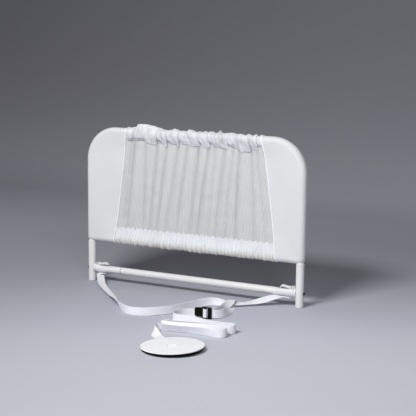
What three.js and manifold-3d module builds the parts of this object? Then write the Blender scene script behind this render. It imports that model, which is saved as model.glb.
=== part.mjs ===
// Folding bed guard rail, shown at its shortest width, standing on its two legs.
// Millimetres, +Z up, X along the rail, -Y towards the bed side where the straps lie.
import * as THREE from 'three';
import { mergeVertices } from 'three/addons/utils/BufferGeometryUtils.js';
import Module from 'manifold-3d';

const wasm = await Module();
wasm.setup();

// Driving sizes
const overall_height = 508;
const leg_spacing = 743.5;
const clearance = 0.3;
const sleeve_diameter = 25;
const outer_tube_diameter = 22;
const inner_tube_diameter = 19;
const tube_wall = 1.2;
const corner_radius = 94.3;
const cross_tube_height = 43;
const lower_bar_height = 148;
const webbing_width = 25;
const webbing_thick = 1.5;

// Everything below follows from the driving sizes
const leg_x = leg_spacing / 2;
const sleeve_radius = sleeve_diameter / 2;
const outer_radius = outer_tube_diameter / 2;
const inner_radius = inner_tube_diameter / 2;
const sleeve_bore = sleeve_radius - tube_wall;
const round_faces = 24;
const tube_faces = 20;
const small_faces = 14;
const corner_steps = 9;

// The fabric's heights, each measured from the top or from the lower bar
const fabric_reach = {
  axis_under_top: 12, cord_over_top: 4, seam_under_top: 47, cord_under_bar: 5.3, seam_over_bar: 41, hem_under_bar: 14,
  hole_over_bar: 18, hole_under_bar: 38,
};
const top_axis_z = overall_height - fabric_reach.axis_under_top;

// The fabric's edge cord, as a slanted line on each side
const edge_cord = {
  radius: 1.5, top_z: overall_height + fabric_reach.cord_over_top,
  low_z: lower_bar_height - fabric_reach.cord_under_bar, sides: 6,
};
const edge_lines = {
  left: { top_x: -239.1, low_x: -279.7 },
  right: { top_x: 238.1, low_x: 292.4 },
};
const cover = {
  outer_radius: { left: 12.2, right: 13.7 }, wall: 2.2, lip: 1.6, inner_lip: 0.3,
  lip_inset: 6, opening_reach: 5, wrap_degrees: 14, arc_steps: 8,
  hole_top: lower_bar_height + fabric_reach.hole_over_bar, hole_low: lower_bar_height - fabric_reach.hole_under_bar,
};
const casing = {
  bore_radius: 11.5, lip: 1.5, stations: 42,
  top_z: overall_height - fabric_reach.seam_under_top, low_z: lower_bar_height + fabric_reach.seam_over_bar,
  hem_low: lower_bar_height - fabric_reach.hem_under_bar,
};

// Leg parts
const foot = { flange_height: 6, plug_radius: 11, plug_top: 22, edge_round: 1.2 };
const leg_steps = { sleeve_under_bar: 19, skirt_length: 25, tube_over_bolt: 27 };
const sleeve = { low_z: foot.flange_height + clearance, top_z: lower_bar_height - leg_steps.sleeve_under_bar };
const frame_end_z = cross_tube_height + leg_steps.tube_over_bolt;
const cuff = {
  height: 4.3, radius: 13.2, waist_radius: 12.5, lip: 1.2,
  skirt_low: sleeve.top_z - leg_steps.skirt_length, skirt_radius: 11,
};

// Sliding tubes
const tubes = { outer_end_x: -230, inner_end_x: 150 };
const cross = { outer_end_x: -258.2, outer_start_x: 300, inner_start_x: -298.7, inner_end_x: 140 };

// Hinge fittings, one at each leg, on the cross tube
const fitting = {
  face_x: 354.5, collar_x: 346, collar_radius: 13.5, shank_x: 302, shank_radius: 11,
  spigot_x: 262, spigot_step: 0.3, long_shank_x: 258.5, bore_end_x: 299, bolt_bore_end: 333,
};
const bolt = { radius: 4, head_radius: 6.5, head_height: 4.2, end_x: 336, socket_radius: 2.6, socket_depth: 2 };
const saddle = { radius: 13.5, reach_x: 362, notch_half: 3.4, notch_low: 5.3, notch_high: 12, notch_depth: 2.5 };

// Latch lever in the fitting's slot: pressing the thumb end pushes the nose into the notch
const over_cross = { pin: 15.5, slot_floor: 5.3, cheek_top: 19.4, strap: -14.6 };
const latch = {
  pin_x: 347.5, pin_z: cross_tube_height + over_cross.pin, pin_radius: 1.5, pin_head: 2.5, pin_head_thick: 1.2,
  half_width: 4.5, nose_half: 3, slot_half: 5.2, slot_floor: cross_tube_height + over_cross.slot_floor, slot_end_x: 304,
  cheek_thick: 3, cheek_low_x: 338.5, cheek_high_x: 354.2, cheek_top: cross_tube_height + over_cross.cheek_top,
  cheek_bevel: 3.2,
  hub_radius: 3.6, spring_room: 2.4,
};
// Offsets from the pin, inward along the tube and up, of the lever's side outline
const lever_outline = [
  [-6.8, -8.5], [-6.8, -5.9], [-3.2, -2.2], [-3.4, 1.4], [-1.6, 3.4], [1.6, 3.5],
  [12, 3.2], [24, 5.2], [29.2, 7.1], [31.6, 6.7], [39.6, -0.4], [39.2, -1.5],
  [30.4, 0.6], [22, -0.8], [8, -2.6], [2.4, -4.4], [-2.2, -8.5],
];
const spring = { coil_radius: 2.7, wire_radius: 0.28, turns: 3, sides: 6, turn_steps: 12, start_y: -4.6, end_y: -2.5 };

// Strap fixings, straps, buckle and disc
const strap_z = cross_tube_height + over_cross.strap;
const rivet = { x: 330, head_radius: 5, head_thick: 1.8, shank_radius: 2, bore_depth: 5.5, strap_z };
const buckle = {
  left_x: 157, plate_x: 182, bar_left_x: 187.4, bar_right_x: 192.6, end_bar_x: 199, right_x: 210,
  low_z: 0.6, high_z: 34.6, plate_low: 5, plate_high: 31, thick: 4, window_low: 3.6, window_high: 30.6,
  left_y: -262.6, right_y: -259.4, bevel: 0.7,
};
const disc = {
  x: 267, y: -585, radius: 84.8, thick: 3.2, rim_round: 1.1, pad_radius: 82, pad_thick: 5.7,
  tilt_degrees: 1.6, lift: 0.15, slot_length: 31, slot_width: 4.4, bar_width: 5.6, dish: 0.9,
  channel_half: 13.2, channel_depth: 3.3, pocket_half: 17,
  strap_angle_degrees: -43.8, faces: 56,
};

// Routes: x, y, z and how far the strap leans, 0 flat and 90 standing on its edge.
// A row of seven gives the direction of the strap's width instead of the lean.
// The bridle strap's two ends give their heights from the strap's height under the rivets.
const bridle_left_end = [
  [-330, 13, 0.1, 0, 1, 0, 0], [-330, 0, 0, 0, 1, 0, 0], [-328, -14, -0.3, 0, 1, 0.02, 0],
  [-318, -34, -1.8, 176], [-303, -55, -5.8, 174],
];
const bridle_right_end = [
  [289, -17, -4.4, 25], [305, -7, -1.4, 12],
  [320, -1, 0, 0, 0, 1, 0], [331, 0, 0, 0, 0, 1, 0], [343, 0, 0, 0, 0, 1, 0],
];
const bridle_middle = [
  [-286, -77, 18, 172], [-266, -98, 13, 170],
  [-239, -122, 8, 168], [-206, -151, 5.2, 166], [-172, -187, 6, 158], [-140, -224, 8.7, 140],
  [-105, -266, 11.6, 118], [-70, -303, 13.2, 98], [-40, -327, 13.4, 90], [-13, -335, 13.4, 90],
  [15, -329, 13.4, 90], [40, -312, 13.4, 90], [61, -287, 13.4, 90], [78, -259, 13.4, 90],
  [92, -222, 13.4, 90], [103, -182, 13.6, 90], [116, -148, 14, 88], [133, -121, 14.4, 78],
  [153, -106, 12.4, 54], [174, -97, 9, 26], [198, -83, 7, 8], [219, -67, 7.4, 6],
  [237, -53, 9.4, 12], [254, -41, 13.4, 24], [272, -29, 18.8, 30],
];
const loop_route = [
  [212, -256, 16.6, 90], [206, -255.9, 16.6, 90], [200.6, -256, 16.6, 90], [197, -257.4, 16.6, 90],
  [195.8, -260.6, 16.6, 90], [198.4, -264.2, 16.6, 90], [205, -265.2, 16.4, 90], [213, -262.4, 15.8, 90],
  [222, -253, 14.6, 90], [229, -240, 13.6, 88], [232, -224, 13.2, 86], [230.5, -204, 12.8, 78],
  [224, -180, 11.2, 60], [214, -154, 8, 38], [205, -130, 4, 14], [197, -110, 1.7, 2],
  [189, -91, 1.7, 0, -0.93, -0.37, 0], [182.5, -74, 1.9, 0, -0.93, -0.37, 0],
  [179.4, -66.6, 4.6, 0, -0.93, -0.37, 0], [178.8, -65, 8.4, 0, -0.93, -0.37, 0],
  [180.4, -68.8, 12.8, 0, -0.93, -0.37, 0], [184, -78, 15.8, 0, -0.93, -0.37, 0],
  [189, -94, 16.8, 0, -0.95, -0.3, 0], [194, -116, 16.4, 0, -0.9, -0.26, 0.34],
  [198, -140, 16, 0, -0.66, -0.16, 0.72], [203, -168, 15.6, 0, -0.34, -0.06, 0.94],
  [207, -198, 15, 0, -0.08, 0, 1], [209.5, -226, 15.4, 0, 0, 0, 1], [212, -242, 16.2, 0, 0, 0, 1],
  [213.4, -251.4, 16.6, 0, 0, 0, 1],
];
const bundle_route = [
  [194.6, -266, 16.8, 90], [189, -266.2, 16.8, 90], [185.6, -264.8, 16.8, 90], [184.7, -261, 16.8, 90],
  [183.9, -257.4, 16.6, 90], [179, -255.2, 16, 90], [168, -256.4, 14.8, 90], [150, -262, 13.6, 90],
  [131, -275, 13, 88], [119, -296, 13, 86], [118, -320, 13, 84], [130, -337, 13, 82],
  [154, -342, 13, 80], [184, -340, 13, 80], [215, -346, 13, 80], [250, -357, 13.2, 85],
  [290, -357, 13.4, 90], [319, -352, 13.4, 90], [335, -356, 13.4, 90], [340, -368, 13.4, 90],
  [333, -380, 13.4, 90], [315, -384, 13.4, 90], [280, -382, 13.2, 84], [240, -384, 13, 76],
  [200, -391, 12.8, 68], [165, -397, 12.6, 65], [145, -400, 12.8, 70], [133, -406, 13, 80],
  [133, -417, 13, 80], [146, -423, 12.8, 70], [180, -418, 12.4, 64], [220, -409, 12.6, 66],
  [260, -401, 12.9, 74], [295, -397, 13.2, 84], [317, -397, 13.4, 90], [331, -402, 13.4, 90],
  [336, -413, 13.4, 90], [329, -425, 13.4, 90], [312, -430, 13.2, 88], [280, -428.5, 12.8, 76],
  [240, -430, 12.2, 66], [200, -436, 12, 62], [170, -442, 12.2, 64], [151, -446, 12.8, 74],
];
const tail_route = [
  [149.3, -446.7, 12.9, 75], [142, -451, 13, 84], [140.6, -463, 12.8, 80], [148, -479, 10, 58],
  [162, -494, 6.2, 30], [180, -508, 3.2, 8],
];
// On the disc, along the strap's own line from the pad's rim, then through the two slots
const tail_disc_route = [
  [-84, 3.4], [-66, 4.1], [-40, 4.1], [-18, 4.1], [-8.8, 4.1], [-5.9, 4.9], [-4.95, 6.8], [-4.75, 8.8],
  [-3, 10.8], [0, 11.3], [3, 10.8], [4.75, 8.8], [4.95, 6.8],
];
const strap_step = 7;

// Height of the gathered top edge above the tube, by place along the rail
const ruffle_places = [-239, -228, -212, -196, -174, -161, -140, -118, -85, -52, -20, 11, 42, 84, 104, 145, 174, 204, 238];
const ruffle_heights = [2, 4, 13, 19, 19, 12, 10, 6.5, 1, 3, 8, 0.6, 7, 4, 4, 6.5, 2, 2, 5];
const scallop_places = [-280, -240, -205, -170, -140, -105, -70, -30, 5, 40, 80, 115, 150, 190, 230, 292];
const scallop_drops = [2.4, 6, 3, 6.6, 3.4, 5.6, 3, 6.4, 3.2, 6, 3.2, 6.6, 3.4, 5.6, 3.4, 2.4];
const gather = { depth: 1.5, ripple: 0.7, fin_half: 1.7, waist_share: 0.42 };
const curtain = {
  thick: 0.9, fold_depth: 4.2, columns: 96, row_shares: [0, 0.3, 0.7, 1], depth_shares: [0.35, 1, 0.9, 0.4],
  edge_shares: 0.06, seam_gap: 0.35,
};
const fold_place_shares = [
  0, 0.022, 0.05, 0.072, 0.094, 0.13, 0.158, 0.19, 0.214, 0.25, 0.29, 0.318, 0.35, 0.392, 0.42, 0.458,
  0.486, 0.53, 0.562, 0.6, 0.63, 0.672, 0.704, 0.74, 0.778, 0.806, 0.846, 0.878, 0.91, 0.94, 0.972, 1,
];

const rad = THREE.MathUtils.degToRad;

// Plain helpers

function clean(geometry) {
  const plain = geometry.clone();
  for (const name of Object.keys(plain.attributes)) {
    if (name !== 'position') plain.deleteAttribute(name);
  }
  return mergeVertices(plain, 1e-4);
}

function signedVolume(positions, index) {
  let total = 0;
  const a = new THREE.Vector3(), b = new THREE.Vector3(), c = new THREE.Vector3();
  for (let i = 0; i < index.length; i += 3) {
    a.fromArray(positions, index[i] * 3);
    b.fromArray(positions, index[i + 1] * 3);
    c.fromArray(positions, index[i + 2] * 3);
    total += a.dot(b.clone().cross(c));
  }
  return total / 6;
}

function closedGeometry(positions, index) {
  if (signedVolume(positions, index) < 0) {
    for (let i = 0; i < index.length; i += 3) [index[i + 1], index[i + 2]] = [index[i + 2], index[i + 1]];
  }
  const geometry = new THREE.BufferGeometry();
  geometry.setAttribute('position', new THREE.Float32BufferAttribute(positions, 3));
  geometry.setIndex(index);
  return geometry;
}

function solid(geometry) {
  const plain = clean(geometry);
  return new wasm.Manifold(new wasm.Mesh({
    numProp: 3,
    vertProperties: new Float32Array(plain.attributes.position.array),
    triVerts: new Uint32Array(plain.index.array),
  }));
}

function fromSolid(body) {
  const mesh = body.getMesh();
  const geometry = new THREE.BufferGeometry();
  geometry.setAttribute('position', new THREE.Float32BufferAttribute(Float32Array.from(mesh.vertProperties), 3));
  geometry.setIndex(Array.from(mesh.triVerts));
  return geometry;
}

function cut(geometry, ...tools) {
  return fromSolid(tools.reduce((body, tool) => body.subtract(solid(tool)), solid(geometry)));
}

function join(first, ...others) {
  return fromSolid(others.reduce((body, other) => body.add(solid(other)), solid(first)));
}

function ringPoints(radius, faces) {
  const points = [];
  for (let i = 0; i < faces; i += 1) {
    const angle = (i / faces) * Math.PI * 2;
    points.push(new THREE.Vector2(radius * Math.cos(angle), radius * Math.sin(angle)));
  }
  return points;
}

function mesh(name, geometry, color, roughness = 0.5, metalness = 0) {
  const material = new THREE.MeshStandardMaterial({ color, roughness, metalness });
  const shown = geometry.index ? geometry.toNonIndexed() : geometry;
  shown.computeVertexNormals();
  const made = new THREE.Mesh(shown, material);
  made.name = name;
  return made;
}

// A path that passes exactly through its stations, one per step
class StationPath extends THREE.Curve {
  constructor(stations) {
    super();
    this.stations = stations;
  }
  getPoint(t) {
    const place = Math.min(Math.max(t, 0), 1) * (this.stations.length - 1);
    const low = Math.min(Math.floor(place), this.stations.length - 2);
    return this.stations[low].clone().lerp(this.stations[low + 1], place - low);
  }
  getPointAt(t) {
    return this.getPoint(t);
  }
  getTangentAt(t) {
    return this.getTangent(t);
  }
}

function hollowTube(stations, radius, bore, faces = tube_faces) {
  const shape = new THREE.Shape(ringPoints(radius, faces));
  shape.holes.push(new THREE.Path(ringPoints(bore, faces).reverse()));
  const steps = stations.length - 1;
  return new THREE.ExtrudeGeometry(shape, { steps, extrudePath: new StationPath(stations), bevelEnabled: false });
}

function rodBetween(start, end, radius, faces = round_faces) {
  const shape = new THREE.Shape(ringPoints(radius, faces));
  return new THREE.ExtrudeGeometry(shape, {
    steps: 1, extrudePath: new StationPath([start, end]), bevelEnabled: false,
  });
}

function turnedAboutX(profile, faces = round_faces) {
  const points = profile.map(([along, radius]) => new THREE.Vector2(radius, along));
  const turned = new THREE.LatheGeometry(points, faces);
  turned.rotateZ(-Math.PI / 2);
  return oriented(turned);
}

function turnedAboutZ(profile, faces = round_faces) {
  const turned = new THREE.LatheGeometry(profile.map(([radius, up]) => new THREE.Vector2(radius, up)), faces);
  turned.rotateX(Math.PI / 2);
  return oriented(turned);
}

// Merged, with the flat triangles of a lathe's poles dropped and its faces turned outwards
function oriented(geometry) {
  const plain = clean(geometry);
  const kept = [];
  const index = plain.index.array;
  for (let i = 0; i < index.length; i += 3) {
    const [a, b, c] = [index[i], index[i + 1], index[i + 2]];
    if (a !== b && b !== c && a !== c) kept.push(a, b, c);
  }
  return closedGeometry(Array.from(plain.attributes.position.array), kept);
}

function sideExtrude(outline, half_width) {
  const shape = new THREE.Shape(outline.map(([x, z]) => new THREE.Vector2(x, z)));
  const body = new THREE.ExtrudeGeometry(shape, { depth: half_width * 2, bevelEnabled: false });
  body.translate(0, 0, -half_width);
  body.rotateX(Math.PI / 2);
  return oriented(body);
}

function block(low, high) {
  const box = new THREE.BoxGeometry(high[0] - low[0], high[1] - low[1], high[2] - low[2]);
  box.translate((low[0] + high[0]) / 2, (low[1] + high[1]) / 2, (low[2] + high[2]) / 2);
  return box;
}

function mirrored(geometry) {
  const flipped = geometry.clone();
  flipped.scale(-1, 1, 1);
  return oriented(flipped);
}

// Rings of equal length joined into one closed body, with flat caps unless it closes on itself
function loft(rings, closed = false) {
  const size = rings[0].length;
  const positions = rings.flat().flatMap((p) => [p.x, p.y, p.z]);
  const index = [];
  const spans = closed ? rings.length : rings.length - 1;
  for (let k = 0; k < spans; k += 1) {
    const next = (k + 1) % rings.length;
    for (let i = 0; i < size; i += 1) {
      const j = (i + 1) % size;
      index.push(k * size + i, k * size + j, next * size + j);
      index.push(k * size + i, next * size + j, next * size + i);
    }
  }
  if (!closed) {
    const last = (rings.length - 1) * size;
    for (let i = 1; i < size - 1; i += 1) {
      index.push(0, i + 1, i);
      index.push(last, last + i, last + i + 1);
    }
  }
  return closedGeometry(positions, index);
}

// An outer and an inner skin of rings, joined at both ends: a sleeve
function sleeveLoft(outer, inner) {
  const size = outer[0].length;
  const rings = [...outer, ...inner.slice().reverse()];
  const positions = rings.flat().flatMap((p) => [p.x, p.y, p.z]);
  const index = [];
  for (let k = 0; k < rings.length; k += 1) {
    const next = (k + 1) % rings.length;
    for (let i = 0; i < size; i += 1) {
      const j = (i + 1) % size;
      index.push(k * size + i, k * size + j, next * size + j);
      index.push(k * size + i, next * size + j, next * size + i);
    }
  }
  return closedGeometry(positions, index);
}

function table(places, values, at) {
  if (at <= places[0]) return values[0];
  for (let i = 1; i < places.length; i += 1) {
    if (at <= places[i]) {
      const t = (at - places[i - 1]) / (places[i] - places[i - 1]);
      const eased = (1 - Math.cos(t * Math.PI)) / 2;
      return values[i - 1] + (values[i] - values[i - 1]) * eased;
    }
  }
  return values[values.length - 1];
}

function edgeX(side, z) {
  const line = edge_lines[side];
  const share = (z - edge_cord.low_z) / (edge_cord.top_z - edge_cord.low_z);
  return line.low_x + (line.top_x - line.low_x) * share;
}

// Frame

function frameStations(sign, end_x) {
  const stations = [new THREE.Vector3(end_x, 0, top_axis_z)];
  const centre = [sign * (leg_x - corner_radius), top_axis_z - corner_radius];
  const steps = corner_steps;
  for (let i = 0; i <= steps; i += 1) {
    const angle = (Math.PI / 2) * (1 - i / steps);
    stations.push(new THREE.Vector3(
      centre[0] + sign * corner_radius * Math.cos(angle), 0, centre[1] + corner_radius * Math.sin(angle),
    ));
  }
  stations.push(new THREE.Vector3(sign * leg_x, 0, frame_end_z));
  return stations;
}

function lowerBar(sign, radius, end_x) {
  const stations = [new THREE.Vector3(end_x, 0, lower_bar_height), new THREE.Vector3(sign * leg_x, 0, lower_bar_height)];
  const bar = hollowTube(stations, radius, radius - tube_wall);
  const upright = rodBetween(
    new THREE.Vector3(sign * leg_x, 0, frame_end_z), new THREE.Vector3(sign * leg_x, 0, lower_bar_height * 2),
    radius + clearance,
  );
  return cut(bar, upright);
}

function legSleeve(sign) {
  const tube = hollowTube(
    [new THREE.Vector3(sign * leg_x, 0, sleeve.low_z), new THREE.Vector3(sign * leg_x, 0, sleeve.top_z)],
    sleeve_radius, sleeve_bore, round_faces,
  );
  const hole = rodBetween(
    new THREE.Vector3(sign * (leg_x - sleeve_diameter), 0, cross_tube_height),
    new THREE.Vector3(sign * (leg_x + sleeve_diameter), 0, cross_tube_height),
    bolt.radius + clearance, small_faces,
  );
  return cut(tube, hole);
}

function footCap(sign) {
  const r = sleeve_radius;
  const cap = turnedAboutZ([
    [0, 0], [r - foot.edge_round, 0], [r, foot.edge_round], [r, foot.flange_height],
    [foot.plug_radius, foot.flange_height], [foot.plug_radius, foot.plug_top - foot.edge_round],
    [foot.plug_radius - foot.edge_round, foot.plug_top], [0, foot.plug_top],
  ]);
  return cap.translate(sign * leg_x, 0, 0);
}

function legCuff(sign, tube_radius) {
  const low = sleeve.top_z + clearance;
  const high = low + cuff.height;
  const bore = tube_radius + clearance;
  const middle = (low + high) / 2;
  const upper = [
    [cuff.radius - cuff.lip / 2, low], [cuff.radius, low + cuff.lip / 2], [cuff.waist_radius, middle],
    [cuff.radius, high - cuff.lip / 2], [cuff.radius - cuff.lip / 2, high], [bore, high],
  ];
  const has_skirt = cuff.skirt_radius - bore > clearance;
  const skirt = has_skirt
    ? [[bore, cuff.skirt_low], [cuff.skirt_radius, cuff.skirt_low], [cuff.skirt_radius, low]]
    : [[bore, low]];
  const ring = turnedAboutZ([...skirt, ...upper, skirt[0]]);
  return ring.translate(sign * leg_x, 0, 0);
}

// Hinge

function hingeFitting(sign) {
  const f = fitting;
  const outside = [
    [f.shank_x, f.shank_radius], [f.collar_x, f.collar_radius], [f.face_x, f.collar_radius],
    [f.face_x, 0],
  ];
  const step_x = cross.outer_start_x + f.spigot_step;
  const spigot = [[f.spigot_x, 0], [f.spigot_x, inner_radius], [step_x, inner_radius], [step_x, f.shank_radius]];
  const socket = [
    [f.bore_end_x, 0], [f.bore_end_x, inner_radius + clearance], [f.long_shank_x, inner_radius + clearance],
    [f.long_shank_x, f.shank_radius],
  ];
  const body = turnedAboutX([...(sign > 0 ? spigot : socket), ...outside]).translate(0, 0, cross_tube_height);
  const cheek_half = latch.slot_half + latch.cheek_thick;
  const cheeks = sideExtrude([
    [latch.cheek_low_x, cross_tube_height], [latch.cheek_high_x, cross_tube_height],
    [latch.cheek_high_x, latch.cheek_top - latch.cheek_bevel],
    [latch.cheek_high_x - latch.cheek_bevel, latch.cheek_top],
    [latch.cheek_low_x + latch.cheek_bevel * 2, latch.cheek_top],
    [latch.cheek_low_x, latch.slot_floor + latch.cheek_bevel],
  ], cheek_half);
  const slot = block(
    [latch.slot_end_x, -latch.slot_half, latch.slot_floor],
    [f.face_x + latch.cheek_bevel, latch.slot_half, latch.cheek_top * 2],
  );
  const pin_hole = rodBetween(
    new THREE.Vector3(latch.pin_x, -cheek_half * 2, latch.pin_z),
    new THREE.Vector3(latch.pin_x, cheek_half * 2, latch.pin_z),
    latch.pin_radius + clearance, small_faces,
  );
  const rivet_hole = rodBetween(
    new THREE.Vector3(rivet.x, 0, 0), new THREE.Vector3(rivet.x, 0, rivet.strap_z + rivet.bore_depth),
    rivet.shank_radius + clearance, small_faces,
  );
  const bolt_hole = rodBetween(
    new THREE.Vector3(f.bolt_bore_end, 0, cross_tube_height), new THREE.Vector3(f.face_x * 2, 0, cross_tube_height),
    bolt.radius + clearance, small_faces,
  );
  const whole = cut(join(body, cheeks), slot, pin_hole, rivet_hole, bolt_hole);
  return sign > 0 ? whole : mirrored(whole);
}

function hingeSaddle(sign) {
  const s = saddle;
  const low = fitting.face_x + clearance;
  const plate = turnedAboutX([[low, 0], [low, s.radius], [s.reach_x, s.radius], [s.reach_x, 0]])
    .translate(0, 0, cross_tube_height);
  const leg = rodBetween(
    new THREE.Vector3(leg_x, 0, 0), new THREE.Vector3(leg_x, 0, sleeve.top_z), sleeve_radius + clearance,
  );
  const hole = rodBetween(
    new THREE.Vector3(low - clearance, 0, cross_tube_height), new THREE.Vector3(leg_x, 0, cross_tube_height),
    bolt.radius + clearance, small_faces,
  );
  const notches = [1, -1].map((way) => {
    const ends = [cross_tube_height + way * s.notch_low, cross_tube_height + way * s.notch_high].sort((a, b) => a - b);
    return block([low - clearance, -s.notch_half, ends[0]], [low + s.notch_depth, s.notch_half, ends[1]]);
  });
  const whole = cut(plate, leg, hole, ...notches);
  return sign > 0 ? whole : mirrored(whole);
}

function pivotBolt(sign) {
  const head_low = leg_x + sleeve_radius + clearance;
  const head_high = head_low + bolt.head_height;
  const dome = bolt.head_radius - bolt.head_height / 2;
  const whole = turnedAboutX([
    [bolt.end_x, 0], [bolt.end_x, bolt.radius], [head_low, bolt.radius], [head_low, bolt.head_radius],
    [head_low + bolt.head_height / 2, bolt.head_radius], [head_high, dome], [head_high, bolt.socket_radius],
    [head_high - bolt.socket_depth, bolt.socket_radius], [head_high - bolt.socket_depth, 0],
  ]).translate(0, 0, cross_tube_height);
  return sign > 0 ? whole : mirrored(whole);
}

function latchLever(sign) {
  const l = latch;
  const outline = lever_outline.map(([inward, up]) => [l.pin_x - inward, l.pin_z + up]);
  const body = sideExtrude(outline, l.half_width);
  const hole = rodBetween(
    new THREE.Vector3(l.pin_x, -l.slot_half * 2, l.pin_z), new THREE.Vector3(l.pin_x, l.slot_half * 2, l.pin_z),
    l.pin_radius + clearance, small_faces,
  );
  const spring_space = rodBetween(
    new THREE.Vector3(l.pin_x, -l.half_width * 2, l.pin_z),
    new THREE.Vector3(l.pin_x, -l.half_width + l.spring_room, l.pin_z),
    l.hub_radius + clearance, small_faces,
  );
  const nose_sides = [1, -1].map((way) => {
    const ends = [way * l.nose_half, way * l.half_width * 2].sort((a, b) => a - b);
    return block(
      [l.pin_x + l.hub_radius, ends[0], l.slot_floor], [fitting.face_x * 2, ends[1], l.pin_z],
    );
  });
  const whole = cut(body, hole, spring_space, ...nose_sides);
  return sign > 0 ? whole : mirrored(whole);
}

function latchPin(sign) {
  const half = latch.slot_half + latch.cheek_thick + clearance;
  const turned = turnedAboutZ([
    [0, -half - latch.pin_head_thick], [latch.pin_head, -half - latch.pin_head_thick], [latch.pin_head, -half],
    [latch.pin_radius, -half], [latch.pin_radius, half], [latch.pin_head, half],
    [latch.pin_head, half + latch.pin_head_thick], [0, half + latch.pin_head_thick],
  ], small_faces);
  turned.rotateX(Math.PI / 2);
  return oriented(turned).translate(sign * latch.pin_x, 0, latch.pin_z);
}

function latchSpring(sign) {
  const rings = [];
  const count = spring.turns * spring.turn_steps;
  for (let k = 0; k <= count; k += 1) {
    const angle = (k / spring.turn_steps) * Math.PI * 2;
    const y = spring.start_y + (spring.end_y - spring.start_y) * (k / count);
    const out = new THREE.Vector3(Math.cos(angle), 0, Math.sin(angle));
    const side = new THREE.Vector3(0, 1, 0);
    rings.push(ringPoints(spring.wire_radius, spring.sides).map((p) => (
      new THREE.Vector3(sign * latch.pin_x, y, latch.pin_z)
        .addScaledVector(out, spring.coil_radius + p.x).addScaledVector(side, p.y)
    )));
  }
  return loft(rings);
}

// Fabric

// Stations of a cover: the tube's centre, the way inward, and the matching height on the edge cord
function coverStations(side, reach) {
  const sign = side === 'right' ? 1 : -1;
  const list = [];
  const top_x = edgeX(side, top_axis_z) + sign * (edge_cord.radius + clearance - reach);
  const corner_x = sign * (leg_x - corner_radius);
  const down = new THREE.Vector3(0, 0, -1);
  list.push({ centre: new THREE.Vector3(top_x, 0, top_axis_z), way: down, share: 0, end: true });
  list.push({ centre: new THREE.Vector3(corner_x, 0, top_axis_z), way: down, share: 0.08 });
  const steps = corner_steps;
  for (let i = 1; i <= steps; i += 1) {
    const angle = (Math.PI / 2) * (1 - i / steps);
    const out = new THREE.Vector3(sign * Math.cos(angle), 0, Math.sin(angle));
    const centre = new THREE.Vector3(corner_x, 0, top_axis_z - corner_radius).addScaledVector(out, corner_radius);
    list.push({ centre, way: out.clone().negate(), share: 0.08 + (0.3 - 0.08) * (i / steps) });
  }
  const inward = new THREE.Vector3(-sign, 0, 0);
  const side_shares = [0.33, 0.66];
  for (const t of side_shares) {
    const z = top_axis_z - corner_radius + (lower_bar_height - top_axis_z + corner_radius) * t;
    list.push({ centre: new THREE.Vector3(sign * leg_x, 0, z), way: inward, share: 0.3 + 0.62 * t });
  }
  list.push({
    centre: new THREE.Vector3(sign * leg_x, 0, lower_bar_height),
    way: new THREE.Vector3(-sign, 0, 1), share: 0.94,
  });
  const low_x = edgeX(side, lower_bar_height) + sign * (edge_cord.radius + clearance - reach);
  const middle_x = (sign * leg_x + low_x) / 2;
  const up = new THREE.Vector3(0, 0, 1);
  list.push({ centre: new THREE.Vector3(middle_x, 0, lower_bar_height), way: up, share: 0.98 });
  list.push({ centre: new THREE.Vector3(low_x, 0, lower_bar_height), way: up, share: 1, end: true });
  return list;
}

function coverRings(side, radius, lip, inset, reach) {
  const sign = side === 'right' ? 1 : -1;
  return coverStations(side, reach).map(({ centre, way, share, end }) => {
    const z = casing.top_z - inset + (casing.low_z + inset * 2 - casing.top_z) * share;
    const seam = new THREE.Vector3(edgeX(side, z) + sign * (edge_cord.radius + clearance + inset - (end ? reach : 0)), 0, z);
    const points = [seam.clone().setY(-lip)];
    const half = Math.PI / 2 + rad(cover.wrap_degrees);
    for (let i = 0; i <= cover.arc_steps; i += 1) {
      const angle = -half + (2 * half * i) / cover.arc_steps;
      points.push(centre.clone().addScaledVector(way, -radius * Math.cos(angle)).setY(radius * Math.sin(angle)));
    }
    points.push(seam.clone().setY(lip));
    if (end) {
      for (const p of points) {
        p.x = edgeX(side, p.z) + sign * (edge_cord.radius + clearance - reach + (p.y * p.y === lip * lip ? inset : 0));
      }
    }
    return points;
  });
}

function endCover(side) {
  const sign = side === 'right' ? 1 : -1;
  const radius = cover.outer_radius[side];
  const tube_radius = side === 'right' ? outer_radius : inner_radius;
  const outside = loft(coverRings(side, radius, cover.lip, 0, 0));
  const inside = loft(coverRings(side, radius - cover.wall, cover.inner_lip, cover.lip_inset, cover.opening_reach));
  const leg_hole = rodBetween(
    new THREE.Vector3(sign * leg_x, 0, cover.hole_low), new THREE.Vector3(sign * leg_x, 0, cover.hole_top),
    tube_radius + clearance * 2,
  );
  return cut(outside, inside, leg_hole);
}

function casingX(share, z) {
  const gap = edge_cord.radius + clearance;
  const low = edgeX('left', z) + gap;
  const high = edgeX('right', z) - gap;
  return low + (high - low) * share;
}

// One ring round a tube: crest above or below, waist at the tube, and a sewn lip at the far edge
function gatherRing(share, axis_z, crest_z, lip_z, wave) {
  const way = Math.sign(crest_z - axis_z);
  const r = casing.bore_radius + gather.depth + gather.ripple * wave;
  const fin = gather.fin_half + gather.ripple * wave * 0.5;
  const crest = Math.max(Math.abs(crest_z - axis_z), r + clearance * 2);
  const lip = Math.abs(lip_z - axis_z);
  const side = [
    [0.0, crest], [fin, crest - 1.2 * (crest - r) * 0.5], [r * 0.62, r * 0.84], [r, r * 0.3],
    [r, -r * 0.3], [r * 0.74, -r * 0.9], [casing.lip + 2.2, -(r + (lip - r) * 0.55)], [casing.lip, -lip],
  ];
  const other = side.slice(1, side.length - 1).reverse().map(([y, up]) => [-y, up]);
  const points = [...side, [-casing.lip, -lip], ...other];
  return points.map(([y, up]) => {
    const z = axis_z + way * up;
    return new THREE.Vector3(casingX(share, z), y, z);
  });
}

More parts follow.
